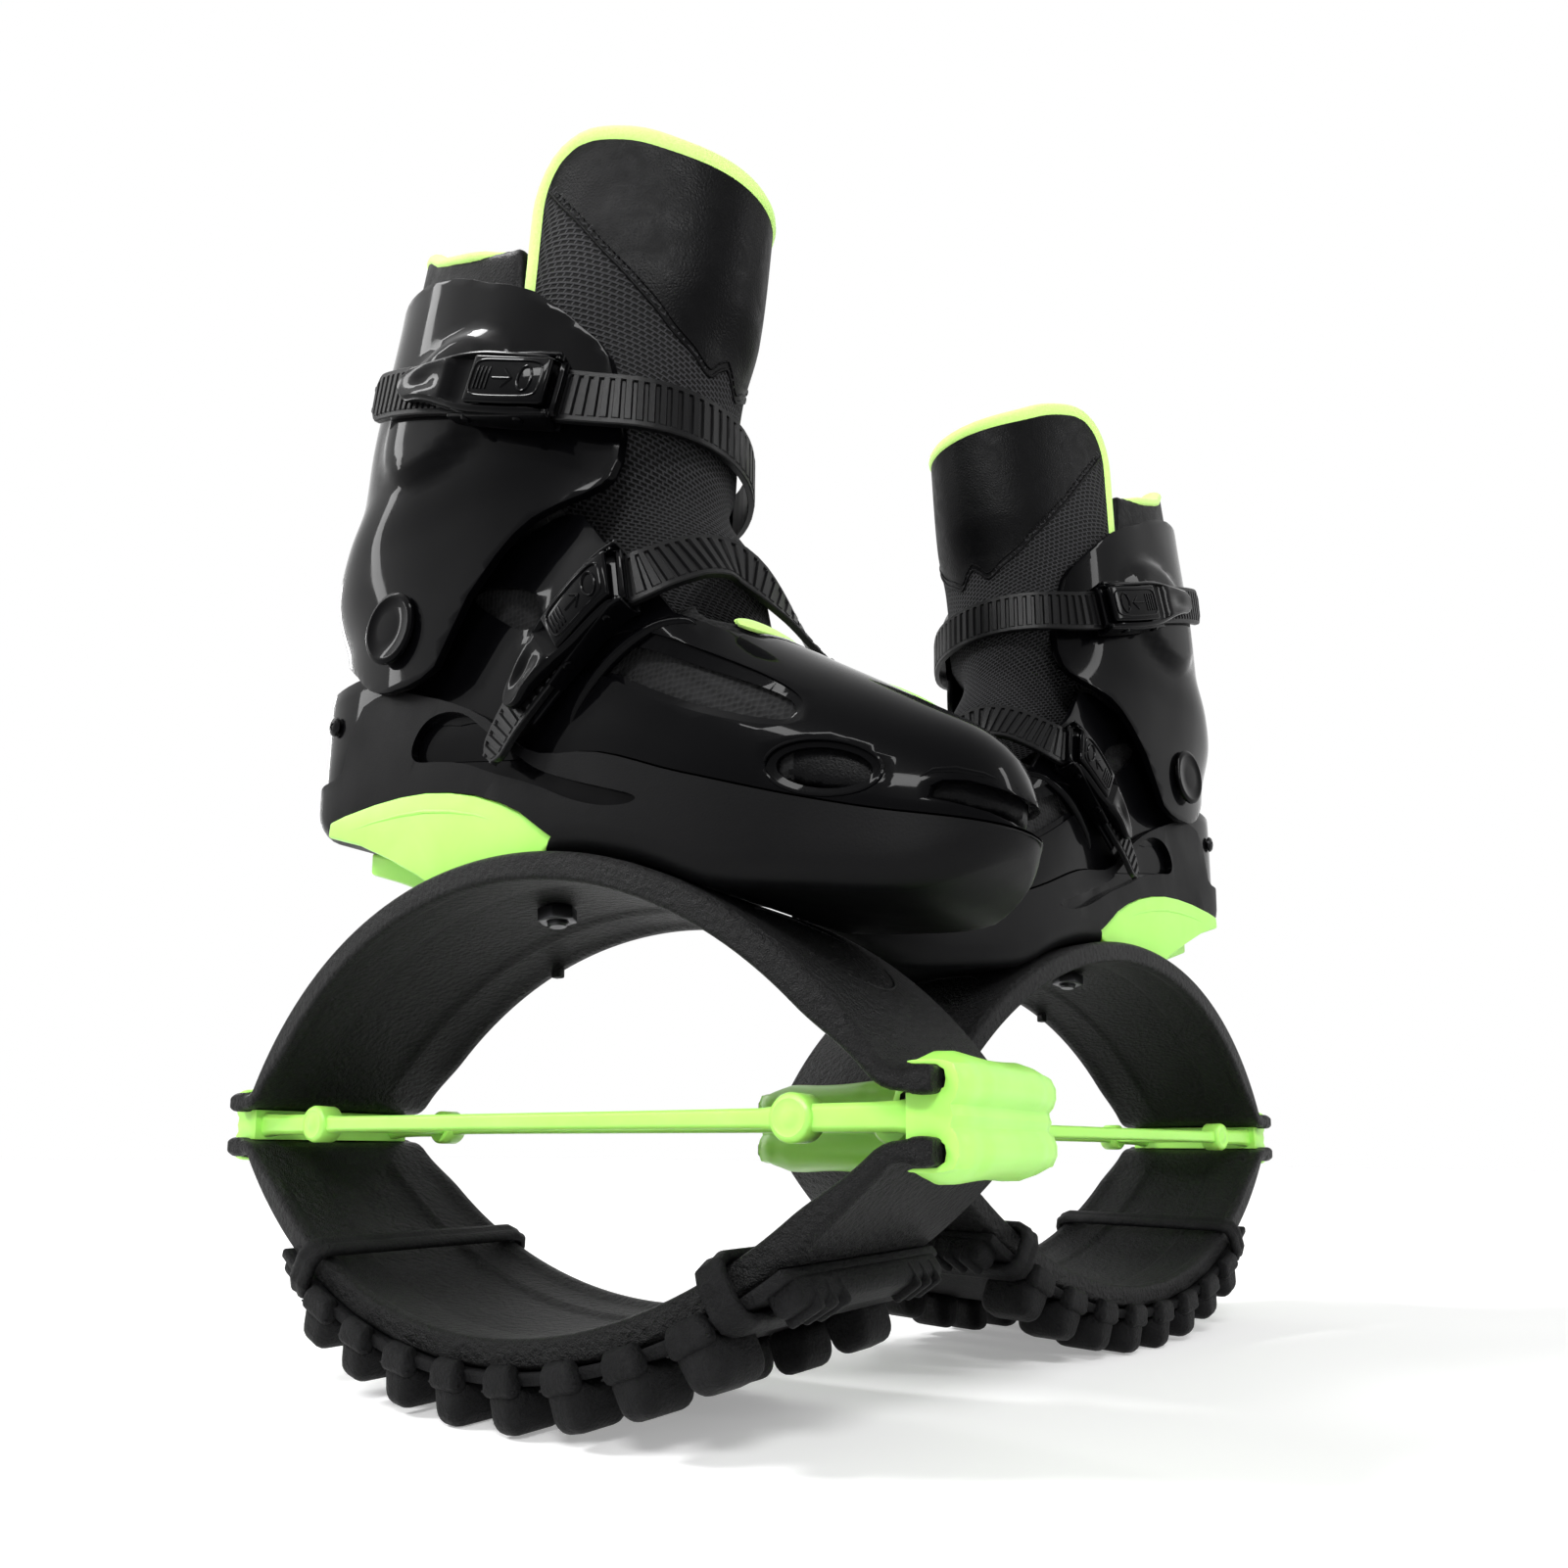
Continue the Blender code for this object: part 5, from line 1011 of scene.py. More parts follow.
def column(table, index):
    """One column of a table, with the first, as a curve's points."""
    return tuple((row[0], row[index]) for row in table)


SHAFT_BACK, SHAFT_FRONT, SHAFT_HALF = (column(SHAFT, i) for i in (1, 2, 3))


def shaft_ring(share, inset, scale=1.0, level=None, steps=44):
    """A plan ring of the shaft at one height share, inset all round."""
    back = along(smooth(SHAFT_BACK, share)) + inset
    front = along(smooth(SHAFT_FRONT, share)) - inset
    half = HALF_WIDTH * smooth(SHAFT_HALF, share) * scale - inset
    return plan_ring(back, front, lambda x: half, level or (lambda x: height(share)), steps,
                     SHAFT_POWERS)


# The shaft is raised over a slanted oval on its outer side, hollowed, and cut to its outline.
outer = [shaft_ring(0.24 + 0.74 * k / 60, 0) for k in range(61)]
for ring in outer:
    for point in ring:
        far = hypot((point.x - BOSS[0] - 0.25 * (point.z - BOSS[1])) / 37, (point.z - BOSS[1]) / 27)
        if point.y < 0:
            point.y -= BOSS_HEIGHT * (1 - eased(0.80, 1.02, far))
inner = [shaft_ring(h, SHAFT_WALL) for h in (0.19, 0.386, 0.43, 0.487, 0.52, 0.549, 0.58, 0.61,
                                             0.66, 0.697, 0.74, 0.78, 0.84, 0.888, 0.95, 1.03)]
cuff = combined(shaped(strip_filled(outer)), [shaped(strip_filled(inner))])
cuff = combined(cuff, [right_across(side_points(CUFF_SIDE))], "INTERSECT")
form = opened(shaped(opened(cuff), [rounded(0.9, 2, 40)]))
pair("cuff_gloss", shaped(form), [GLOSS], ["cuff"], "cuff_body", sharp=35)


# Ankle rivets and screws. A wide flat cap, polished like the shell, covers each hinge of the
# cuff, and a cross-head screw of blackened steel holds the heel at each side.
PIVOT_SHARES = (0.253, 0.368)
SCREW_PLACE = (along(0.085), height(0.285))

# Steel dipped to a black oxide skin: dark, with clear glints that blur in patches of 3 mm.
OXIDE, tree, shader = finish("black_oxide_steel", "#19191a", 0.30, Metallic=1.0)
where = add(tree, "TexCoord").outputs["Object"]
haze = add(tree, "TexNoise", {"Vector": where, "Scale": 300.0, "Detail": 4.0})
tone = add(tree, "MapRange", {"Value": haze.outputs["Fac"], "To Min": 0.22, "To Max": 0.42})
tree.links.new(tone.outputs["Result"], shader.inputs["Roughness"])

pivot_x, pivot_z = along(PIVOT_SHARES[0]), height(PIVOT_SHARES[1])
face = HALF_WIDTH * smooth(SHAFT_HALF, PIVOT_SHARES[1]) + 0.5
root = HALF_WIDTH * smooth(SHELL_WIDTH, PIVOT_SHARES[0]) - 2.6
screw_x, screw_z = SCREW_PLACE
slope = (shell_y(screw_x + 2, screw_z) - shell_y(screw_x - 2, screw_z)) / 4
for side, name in SIDES:
    form = turned([(0, root), (4.6, root), (4.6, face - 4.4), (8.2, face - 4.4), (8.2, face - 3.9),
                   (5, face - 3.9), (5, face - 0.2), (13.9, face - 0.2), (14.5, face + 0.5),
                   (14.3, face + 1.5), (13.2, face + 2.1), (12.0, face + 2.15),
                   (11.4, face + 1.75), (6, face + 1.95), (0, face + 2.05)], 48)
    form.transform(aimed((pivot_x, 0, pivot_z), (0, side, 0)))
    pair(f"{name}_ankle_cap", shaped(form), [GLOSS], [f"{name}_ankle_rivet"], "boot",
         sharp=40)
    head = shaped(turned([(0, -2.6), (2.1, -2.6), (2.1, 0.4), (3.9, 0.4), (4.4, 0.9), (4.2, 1.7),
                          (3.2, 2.5), (1.6, 2.9), (0, 3.0)], 28))
    cross = [shaped(block(size, (0, 0, 2.9))) for size in ((4.4, 0.9, 2.4), (0.9, 4.4, 2.4))]
    head = shaped(opened(combined(head, cross)))
    spot = Vector((screw_x, side * shell_y(screw_x, screw_z), screw_z))
    head.transform(aimed(spot, (-slope, side, 0)))
    pair(f"{name}_cross_screw", head, [OXIDE], [f"{name}_heel_screw"], "boot",
         sharp=30)


# Sole bolt and nut. A flat-headed steel bolt goes down from inside the sole through the top of
# the ring, and a hexagonal nut under the leaf holds the boot on it.
BOLT_SHARE = 0.3994
BOLT_SEAT = RING_TOP + 6.4

# Zinc-plated steel, blackened a little: grey metal whose sheen is hazy in patches of 4 mm.
STEEL, tree, shader = finish("dark_zinc_steel", "#3c3c3e", 0.34, Metallic=1.0)
where = add(tree, "TexCoord").outputs["Object"]
haze = add(tree, "TexNoise", {"Vector": where, "Scale": 260.0, "Detail": 5.0})
tone = add(tree, "MapRange", {"Value": haze.outputs["Fac"], "To Min": 0.25, "To Max": 0.48})
tree.links.new(tone.outputs["Result"], shader.inputs["Roughness"])

radius, centre, half, limit = leaf_shape(UPPER_RISE)
lean = along(BOLT_SHARE) / radius
BOLT_AXIS = Vector((sin(lean), 0, cos(lean)))


def on_bolt(z):
    """The point of the bolt's axis that lies as far out as a height at the ring's middle."""
    foot = upper_level + centre
    return Vector((0, 0, foot)) + BOLT_AXIS * (z - foot)


nut_top = RING_TOP - LEAF_THICKNESS - 0.8
form = turned([(4.5, -5.5), (8.08, -5.5), (8.08, 0), (4.5, 0), (4.5, -5.5)], 6)
nut = shaped(form, [rounded(0.7, 2, 25)])
nut.transform(aimed(on_bolt(nut_top), BOLT_AXIS))
pair("hex_nut", nut, [STEEL], ["sole_nut"], "boot", sharp=25)
tip = nut_top - 6 - BOLT_SEAT
form = turned([(0, tip - 1.5), (3.2, tip - 1.5), (4, tip - 0.6), (4, 0), (7.5, 0), (7.5, 4),
               (0, 4)], 24)
form.transform(aimed(on_bolt(BOLT_SEAT), BOLT_AXIS))
pair("sole_bolt_shank", shaped(form), [STEEL], ["sole_bolt"], "boot", sharp=30)


# Inner boot. A padded sock with mesh over foam, a leather band round its top and lime binding on
# the rim. It fills the shell, so it shows through the windows and above the cuff.

# How far the shaft narrows below the cuff, at shares of height.
NARROW = ((0.386, 0.765), (0.466, 0.735), (0.549, 0.93), (0.61, 1), (1.06, 1))
RIM = ((0.12, 1.045), (0.21, 1.014), (0.262, 0.975), (0.29, 0.942), (0.345, 0.906),
       (0.405, 0.877), (0.454, 0.856))
THROAT_BACK = along(0.449)
BAND_HEIGHT = height(0.75)
BAND_LEAN = 0.12
# Forward of this place the boot takes the darker leather finish as painted shade for the dark
# inside of the shell's toe.
SHADED_TOE_START = 118
RIM_SHARE = 1.04
# Heights in metres between which the soft pieces bend with the cuff; here they are not bent, and
# the pieces given them only have their place baked into their meshes.
ANKLE_BEND = (0.285, 0.365)

# Air mesh of the inner boot, knitted over foam, with painted shade in its holes and a painted dull
# sheen on its threads.
# The boot is one puffed form without a flat cloth map, so the holes are round cells 2.2 mm apart.
LINING, tree, shader = finish("boot_mesh", "#0d0d0e", 0.8, Sheen_Weight=0.03,
                              Specular_IOR_Level=0.12)
where = add(tree, "TexCoord").outputs["Object"]
cells = add(tree, "TexVoronoi", {"Vector": where, "Scale": 460.0, "Randomness": 0.35})
bump = add(tree, "Bump", {"Height": cells.outputs["Distance"], "Strength": 0.9,
                          "Distance": 0.0008})
tree.links.new(bump.outputs["Normal"], shader.inputs["Normal"])
# Painted shade and sheen: the middle of each cell is darkened as the shade in a hole, and its rim
# lightened as dull light on the threads.
shade = add(tree, "Mix", {0: cells.outputs["Distance"], 6: paint("#030303"),
                          7: paint("#232324")}, data_type="RGBA")
tree.links.new(shade.outputs[2], shader.inputs["Base Color"])

# Imitation leather, polyurethane embossed on a knit: a soft sheen over a shallow pebble of
# 1.3 mm and creases of 10 mm.
LEATHER, tree, shader = finish("imitation_leather", "#070708", 0.38, Specular_IOR_Level=0.05)
where = add(tree, "TexCoord").outputs["Object"]
pebble = add(tree, "TexVoronoi", {"Vector": where, "Scale": 760.0}, feature="DISTANCE_TO_EDGE")
crease = add(tree, "TexNoise", {"Vector": where, "Scale": 95.0, "Detail": 5.0,
                                "Distortion": 1.6})
both = add(tree, "Math", {0: pebble.outputs["Distance"], 1: crease.outputs["Fac"]},
           operation="ADD")
bump = add(tree, "Bump", {"Height": both.outputs[0], "Strength": 0.28, "Distance": 0.0006})
tree.links.new(bump.outputs["Normal"], shader.inputs["Normal"])
tone = add(tree, "MapRange", {"Value": crease.outputs["Fac"], "From Min": 0.3, "From Max": 0.7,
                              "To Min": 0.33, "To Max": 0.5})
tree.links.new(tone.outputs["Result"], shader.inputs["Roughness"])

# Lime binding tape: a woven edge tape folded over the rim, matt, with a rib every 0.9 mm.
BINDING, tree, shader = finish("lime_binding", "#bdf76a", 0.85, Sheen_Weight=0.2)
where = add(tree, "TexCoord").outputs["Object"]
rib = add(tree, "TexNoise", {"Vector": where, "Scale": 1100.0, "Detail": 2.0})
bump = add(tree, "Bump", {"Height": rib.outputs["Fac"], "Strength": 0.5, "Distance": 0.0003})
tree.links.new(bump.outputs["Normal"], shader.inputs["Normal"])
shade = add(tree, "Mix", {0: rib.outputs["Fac"], 6: paint("#bcf06c"), 7: paint("#d4ff94")},
            data_type="RGBA")
tree.links.new(shade.outputs[2], shader.inputs["Base Color"])


def rim_height(x):
    """Height of the inner boot's rim, which dips to the front."""
    return height(smooth(RIM, share_at(x)))


def shaft_volume(inset, top, low):
    """The inner boot's shaft as a solid, from a low share up to a rim."""
    rings = [shaft_ring(h, inset, smooth(NARROW, h), steps=36)
             for h in (low, 0.42, 0.466, 0.51, 0.549, 0.58, 0.61, 0.70, 0.79)]
    rings.append(shaft_ring(RIM_SHARE, inset, 1, top, steps=36))
    return shaped(strip_filled(rings))


# Foot and shaft are joined and hollowed, and the throat and the shaft's open front are cut out.
# A voxel remesh then runs the walls together and puffs their edges as sewn foam is.
liner = combined(shaped(dome(4.2, height(0.37), 12)), [shaft_volume(4.4, rim_height, 0.315)],
                 "UNION")
throat = [(THROAT_BACK, height(0.272)), (along(0.722), height(0.272)),
          (along(0.722), height(1.3)), (THROAT_BACK, height(1.3))]
face = [(THROAT_BACK + 0.8, height(0.45)), (along(1), height(0.45)), (along(1), height(1.3)),
        (THROAT_BACK + 0.8, height(1.3))]
liner = combined(liner, [shaped(dome(11.4, height(0.37) - 7, 12)),
                         shaft_volume(11.6, lambda x: rim_height(x) + 20, 0.285),
                         shaped(slab(throat, -27.75, 27.75)), right_across(face)])
liner = shaped(opened(liner), [("REMESH", {"mode": "VOXEL", "voxel_size": 1.9}),
                               ("SMOOTH", {"factor": 0.5, "iterations": 5})])
form = opened(liner)
bmesh.ops.bisect_plane(form, geom=form.verts[:] + form.edges[:] + form.faces[:], dist=0.01,
                       plane_co=(-90, 0, BAND_HEIGHT), plane_no=(-BAND_LEAN, 0, 1))
# The leather finish goes on the band above the slanted line and, as painted shade, on the toe
# hidden in the shell.
for panel in form.faces:
    place = panel.calc_center_median()
    band = BAND_HEIGHT + BAND_LEAN * (place.x + 90)
    panel.material_index = 1 if place.z > band or place.x > SHADED_TOE_START else 0
liner = shaped(form)
for piece in pair("inner_boot", liner, [LINING, LEATHER], ["liner"],
                  blend=ANKLE_BEND, sharp=80):
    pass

# The tape is a flattened cord round the rim that thins out beside the tongue at both ends.
rim = []
back, front = along(smooth(SHAFT_BACK, RIM_SHARE)) + 8, along(smooth(SHAFT_FRONT, RIM_SHARE)) - 8
for k in range(97):
    turn = 2 * pi * k / 96
    run = signed(cos(turn), 2 / SHAFT_POWERS[1])
    x = (back + front) / 2 - (front - back) / 2 * run
    wide = HALF_WIDTH * smooth(SHAFT_HALF, 1.0) - 8
    wide *= sqrt(max(0, 1 - abs(run) ** SHAFT_POWERS[0]))
    if x < THROAT_BACK - 2:
        rim.append(Vector((x, wide if sin(turn) > 0 else -wide, rim_height(x) - 1.2)))
start = max(range(len(rim)), key=lambda k: (rim[k] - rim[k - 1]).length)
rim = rim[start:] + rim[:start]
form = tube(rim, lambda s: 4.9 * min(1, 0.35 + 14 * min(s, 1 - s)), 14, 0.62)
pair("collar_binding", shaped(form), [BINDING], (), blend=ANKLE_BEND,
     sharp=70)


# Tongue. A padded flap curved round the shin, imitation leather at the top front and mesh below,
# bound with lime tape. The seam between the two is stitched.

# Share of height, then front, half width and rear edge as shares.
TONGUE = ((0.28, 0.712, 0.34, 0.655), (0.332, 0.701, 0.45, 0.591), (0.386, 0.689, 0.53, 0.53),
          (0.484, 0.64, 0.58, 0.479), (0.56, 0.631, 0.936, 0.46), (0.617, 0.634, 0.964, 0.454),
          (0.697, 0.646, 0.964, 0.454), (0.78, 0.671, 0.964, 0.46), (0.96, 0.691, 0.964, 0.472))
TONGUE_TOP = ((0, 0.939), (0.123, 0.971), (0.274, 0.982), (0.466, 0.971), (0.63, 0.957),
              (0.767, 0.939), (1, 0.917))
TONGUE_FRONT, TONGUE_HALF, TONGUE_EDGE = (column(TONGUE, i) for i in (1, 2, 3))
TONGUE_WALL = 7.5
TONGUE_HEART = along(0.338)
SEAM_LINE = ((0, 0.597), (0.05, 0.582), (0.115, 0.558), (0.215, 0.583), (0.328, 0.613),
             (0.435, 0.653), (0.542, 0.693), (0.655, 0.744), (0.768, 0.804), (0.881, 0.874),
             (1, 0.985))
CLOTH_SIZE = (70, 190)
STITCH_RISE = 0.016

# Air mesh of the tongue: two knitted layers with slanted rows of small holes, 2.4 mm apart, with
# painted shade in the holes and a painted dull sheen on the threads. The rows follow the cloth's
# own map.
MESH, tree, shader = finish("air_mesh", "#101011", 0.75, Sheen_Weight=0.03, Sheen_Roughness=0.4,
                            Specular_IOR_Level=0.12)
cloth = add(tree, "UVMap", uv_map="cloth").outputs["UV"]
turn = add(tree, "Mapping", {"Vector": cloth, "Rotation": (0, 0, radians(28))})
knit = add(tree, "TexBrick", {"Vector": turn.outputs["Vector"], "Scale": 1.0,
                              "Mortar Size": 0.55, "Mortar Smooth": 0.9, "Brick Width": 2.6,
                              "Row Height": 1.7, "Color1": (0, 0, 0, 1), "Color2": (0, 0, 0, 1),
                              "Mortar": (1, 1, 1, 1)}, offset=0.5)
bump = add(tree, "Bump", {"Height": knit.outputs["Color"], "Strength": 1.0, "Distance": 0.0007})
tree.links.new(bump.outputs["Normal"], shader.inputs["Normal"])
# Painted shade darkens the holes and a painted dull sheen lightens the threads between them.
shade = add(tree, "Mix", {0: knit.outputs["Color"], 6: paint("#010101"), 7: paint("#303032")},
            data_type="RGBA")
tree.links.new(shade.outputs[2], shader.inputs["Base Color"])


def tongue_spot(turn, rise, inset):
    """A point of the tongue: turn from -1 to 1 round the shin, rise from its foot to its rim."""
    low, high = TONGUE[0][0], TONGUE[-1][0]
    lean = min(1, rise)
    share = low + (high - low) * lean
    front = along(smooth(TONGUE_FRONT, share)) - inset + 2.0 * exp(-((share - 0.56) / 0.07) ** 2)
    edge = along(smooth(TONGUE_EDGE, share))
    half = HALF_WIDTH * smooth(TONGUE_HALF, share) - inset
    x = edge + (front - edge) * sin(pi / 2 * (1 - abs(turn)))
    reach = max(0, (x - TONGUE_HEART) / (front - TONGUE_HEART))
    y = half * sqrt(max(0, 1 - reach ** SHAFT_POWERS[0]))
    if 1 - abs(turn) > 0.999:
        y = 0
    top = height(smooth(TONGUE_TOP, (x - edge) / (front - edge)))
    z = height(share) + (top - height(high)) * eased(0.5, 1, lean) ** 1.5
    return Vector((x, y if turn > 0 else -y, z))


def section_turn(v):
    """The turn round the shin for a share of the tongue's closed section."""
    return 4 * v - 1 if v < 0.5 else 3 - 4 * v


def tongue_point(rise, v):
    """The closed tongue: v goes round its section, out along the front and back inside."""
    turn = section_turn(v)
    puff = sin(pi * min(1, max(0, rise))) * (1 - turn ** 4)
    return tongue_spot(turn, rise, 0.4 - puff * 0.5 if v < 0.5 else TONGUE_WALL + puff)


form = draped(110, 144, tongue_point)
cloth = form.loops.layers.uv["cloth"]
for panel in form.faces:
    rise, v = panel.loops[0][cloth].uv
    panel.material_index = 1 if rise > smooth(SEAM_LINE, abs(section_turn(v))) else 0
    for corner in panel.loops:
        rise, v = corner[cloth].uv
        corner[cloth].uv = (section_turn(v) * CLOTH_SIZE[0], rise * CLOTH_SIZE[1])
bmesh.ops.holes_fill(form, edges=[edge for edge in form.edges if edge.is_boundary])
bmesh.ops.recalc_face_normals(form, faces=form.faces)
for piece in pair("padded_tongue", shaped(form), [MESH, LEATHER], ["tongue"],
                  blend=ANKLE_BEND, sharp=70):
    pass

# The seam: a thin welt where leather meets mesh, and a row of stitches just above it.
line = [tongue_spot(k / 90, smooth(SEAM_LINE, abs(k / 90)), -0.2) for k in range(-86, 87)]
form = tube(relaxed(line, 1)[1:-1], 0.6, 8)
above = [tongue_spot(k / 90, min(0.99, smooth(SEAM_LINE, abs(k / 90)) + STITCH_RISE), -0.35)
         for k in range(-82, 83)]
for k in range(1, len(above) - 1, 2):
    run = (above[k + 1] - above[k - 1]).normalized()
    added(form, block((1.9, 0.55, 0.55), width=0.2, segments=2), Matrix.Translation(above[k])
          @ Vector((1, 0, 0)).rotation_difference(run).to_matrix().to_4x4())
pair("tongue_seam", shaped(form), [LEATHER], (), blend=ANKLE_BEND,
     sharp=60)


def patch_spot(u, v):
    """A point of the lens-shaped patch at the tongue's foot, bent over the instep."""
    y = 23 * (2 * u - 1)
    x = 90.5 - 0.01 * y * y + 6.5 * (2 * v - 1) * sqrt(max(0.01, 1 - (2 * u - 1) ** 2))
    return Vector((x, y, 268 - 0.012 * y * y - 0.8 * (x - 90.5) + 0.8 * sin(pi * v)))


form = draped(44, 10, patch_spot, closed=False)
mesh = shaped(form, [("SOLIDIFY", {"thickness": 1.3, "offset": 0}), rounded(0.4, 2, 40)])
pair("lime_tongue_patch", mesh, [BINDING], (), "boot", sharp=60)

# The tape runs up one edge, round the top and down the other edge.
spots = ([(-1, 0.42 + 0.56 * k / 60) for k in range(61)]
         + [(2 * k / 120 - 1, 1) for k in range(1, 120)]
         + [(1, 0.98 - 0.56 * k / 60) for k in range(61)])
rim = relaxed([tongue_spot(turn, rise, TONGUE_WALL / 2) for turn, rise in spots], 14)[::2]
form = tube(rim, 4.4, 14, outward=lambda i: Vector((rim[i].x - TONGUE_HEART, rim[i].y, 0)))
pair("tongue_binding", shaped(form), [BINDING], (), blend=ANKLE_BEND,
     sharp=70)


# Straps. Two ladder straps of polyurethane close the boot, one round the shin and one over the
# instep. Each has cross teeth 3.9 mm apart between two plain edges, and ends in a rivet.

# The top strap's height along the boot and its turn round the shaft, in degrees.
TOP_STRAP = ((0.18, 0.748), (0.36, 0.668), (0.5, 0.602), (0.58, 0.58), (0.66, 0.577))
TOP_SWEEP = (246.0, 437.0)
# Knots of the instep strap as shares of length, half width and height.
INSTEP_ROUTE = ((0.436, -0.968, 0.130), (0.466, -0.964, 0.177), (0.506, -0.964, 0.220),
                (0.552, -0.962, 0.262), (0.604, -0.965, 0.300), (0.643, -0.93, 0.312),
                (0.667, -0.77, 0.332), (0.681, -0.58, 0.350), (0.690, -0.36, 0.360),
                (0.699, -0.138, 0.353), (0.709, 0.085, 0.330), (0.720, 0.298, 0.298),
                (0.731, 0.511, 0.267), (0.738, 0.702, 0.236))
INSTEP_HEART = (along(0.558), height(0.148))
INSTEP_SPREAD = (0.213 * BOOT_LENGTH, 0.98 * HALF_WIDTH, 0.48 * BOOT_HEIGHT)
TOOTH = 3.9
STATIONS = 48
BODIES = (("top", "cuff_body"), ("instep", "boot"))
# Where along each strap its rivet sits, and how deep the rivet's shank goes.
RIVETS = {"top": (0.965, -3.6), "instep": (0.95, -3.0)}

# Moulded polyurethane of the ratchet straps: satin and evenly black, with a very fine grain that
# is drawn at 1.4 mm so that it shows.
STRAP, tree, shader = finish("strap_polyurethane", "#0a0a0b", 0.38, Specular_IOR_Level=0.11)
where = add(tree, "TexCoord").outputs["Object"]
fine = add(tree, "TexNoise", {"Vector": where, "Scale": 700.0, "Detail": 3.0})
bump = add(tree, "Bump", {"Height": fine.outputs["Fac"], "Strength": 0.25, "Distance": 0.0002})
tree.links.new(bump.outputs["Normal"], shader.inputs["Normal"])


def top_spot(share):
    """A point of the top strap's route, round the shaft and just clear of the cuff."""
    back, front, half = (smooth(t, 0.61) for t in (SHAFT_BACK, SHAFT_FRONT, SHAFT_HALF))
    turn = radians(TOP_SWEEP[0] + share * (TOP_SWEEP[1] - TOP_SWEEP[0]))
    reach = (front - back) / 2 * BOOT_LENGTH + 0.4
    run = signed(cos(turn), 2 / SHAFT_POWERS[1])
    x = along((back + front) / 2) + reach * run
    y = (HALF_WIDTH * half + 3.6) * sqrt(max(0, 1 - abs(run) ** SHAFT_POWERS[1]))
    return Vector((x, y if sin(turn) > 0 else -y, height(smooth(TOP_STRAP, share_at(x)))))


def instep_spot(share):
    """A point of the instep strap's route, a smooth curve through its knots."""
    knots = [Vector((along(x), HALF_WIDTH * y, height(z))) for x, y, z in INSTEP_ROUTE]
    t = share * (len(knots) - 1)
    k = min(int(t), len(knots) - 2)
    f = t - k
    before, after = knots[max(k - 1, 0)], knots[min(k + 2, len(knots) - 1)]
    a, b = knots[k], knots[k + 1]
    return 0.5 * (2 * a + (b - before) * f + (2 * before - 5 * a + 4 * b - after) * f * f
                  + (3 * a - before - 3 * b + after) * f * f * f)


def measured(spot):
    """Samples of a route and the length reached at each."""
    points = [spot(i / 240) for i in range(241)]
    reached = [0.0]
    for a, b in zip(points, points[1:]):
        reached.append(reached[-1] + (b - a).length)
    return points, reached


ROUTES = {"top": measured(top_spot), "instep": measured(instep_spot)}


def place_at(route, share):
    """Place, outward and sideways directions at a share of a route's length."""
    points, reached = ROUTES[route]
    goal, i = share * reached[-1], 0
    while i < len(points) - 2 and reached[i + 1] < goal:
        i += 1
    here = points[i].lerp(points[i + 1], (goal - reached[i]) / (reached[i + 1] - reached[i]))
    run = (points[min(i + 3, len(points) - 1)] - points[max(i - 2, 0)]).normalized()
    if route == "top":
        out = run.cross(Vector((0, 0, 1))).normalized()
    else:
        out = here - Vector((INSTEP_HEART[0], 0, INSTEP_HEART[1]))
        out = Vector([o / size ** 2 for o, size in zip(out, INSTEP_SPREAD)]).normalized()
        out = (out - out.dot(run) * run).normalized()
    return here, out, run.cross(out).normalized()


FRAMES = {route: [place_at(route, k / STATIONS) for k in range(STATIONS + 1)]
          for route in ROUTES}


def on_route(route, share, side, lift):
    """A point beside and above a route; the frame turns evenly between its stations."""
    t = min(max(share, 0), 1) * STATIONS
    k = min(int(t), STATIONS - 1)
    here, out, across = (a.lerp(b, t - k) for a, b in zip(FRAMES[route][k], FRAMES[route][k + 1]))
    out.normalize()
    across.normalize()
    extra = (share - min(max(share, 0), 1)) * ROUTES[route][1][-1]
    return here + across * side + out * lift + across.cross(out).normalized() * -extra


for route, body in BODIES:
    length = ROUTES[route][1][-1]
    teeth = int(length / TOOTH)
    step = length / teeth
    profile = [(step * (k + part), tooth) for k in range(teeth)
               for part, tooth in ((0.02, 0.0), (0.30, 0.0), (0.40, 1.0), (0.88, 1.0))]
    rings = []
    for x, tooth in profile + [(length - 0.3, 0.0)]:
        near = min(x, length - x)
        wide = 9.5 * (sqrt(max(0.3, 1 - (1 - min(1, near / 7)) ** 2)) if near < 7 else 1)
        top = 1.75 + 1.05 * tooth
        side = [(0, top), (wide - 2.2, top), (wide - 1.9, 2.5), (wide - 0.4, 2.5), (wide, 2.1),
                (wide, 0.3), (wide - 0.3, 0.0), (0, 0.0)]
        rings.append([on_route(route, x / length, y, z) for y, z in mirrored(side)])
    pair(f"{route}_ladder_strap", shaped(sleeve(rings)), [STRAP], [f"{route}_strap"], body,
         sharp=32)
    share, drop = RIVETS[route]
    here, out, across = place_at(route, share)
    form = turned([(0, drop), (2.5, drop), (2.5, 3.2), (5.2, 3.2), (5.5, 3.6), (5.2, 4.5),
                   (4.0, 5.0), (1.6, 5.2), (1.2, 4.8), (0, 4.8)], 28)
    form.transform(aimed(here, out))
    pair(f"{route}_domed_rivet", shaped(form), [GLOSS], [f"{route}_strap_rivet"], body,
         sharp=40)


# Buckles. Each has a base channel riveted under the strap, a lever that pulls the strap tight
# and a release tab, all of polished ABS. Each part is shaped flat and bent round the strap's route.

# The spans of channel, lever and tab, as shares of the strap's length.
SPANS = {"top": ((0.17, 0.425), (0.108, 0.425), (0.285, 0.412)),
         "instep": ((0.12, 0.45), (0.11, 0.445), (0.27, 0.425))}
LEVER_STEPS = 44
TAB_FACE = 9.5


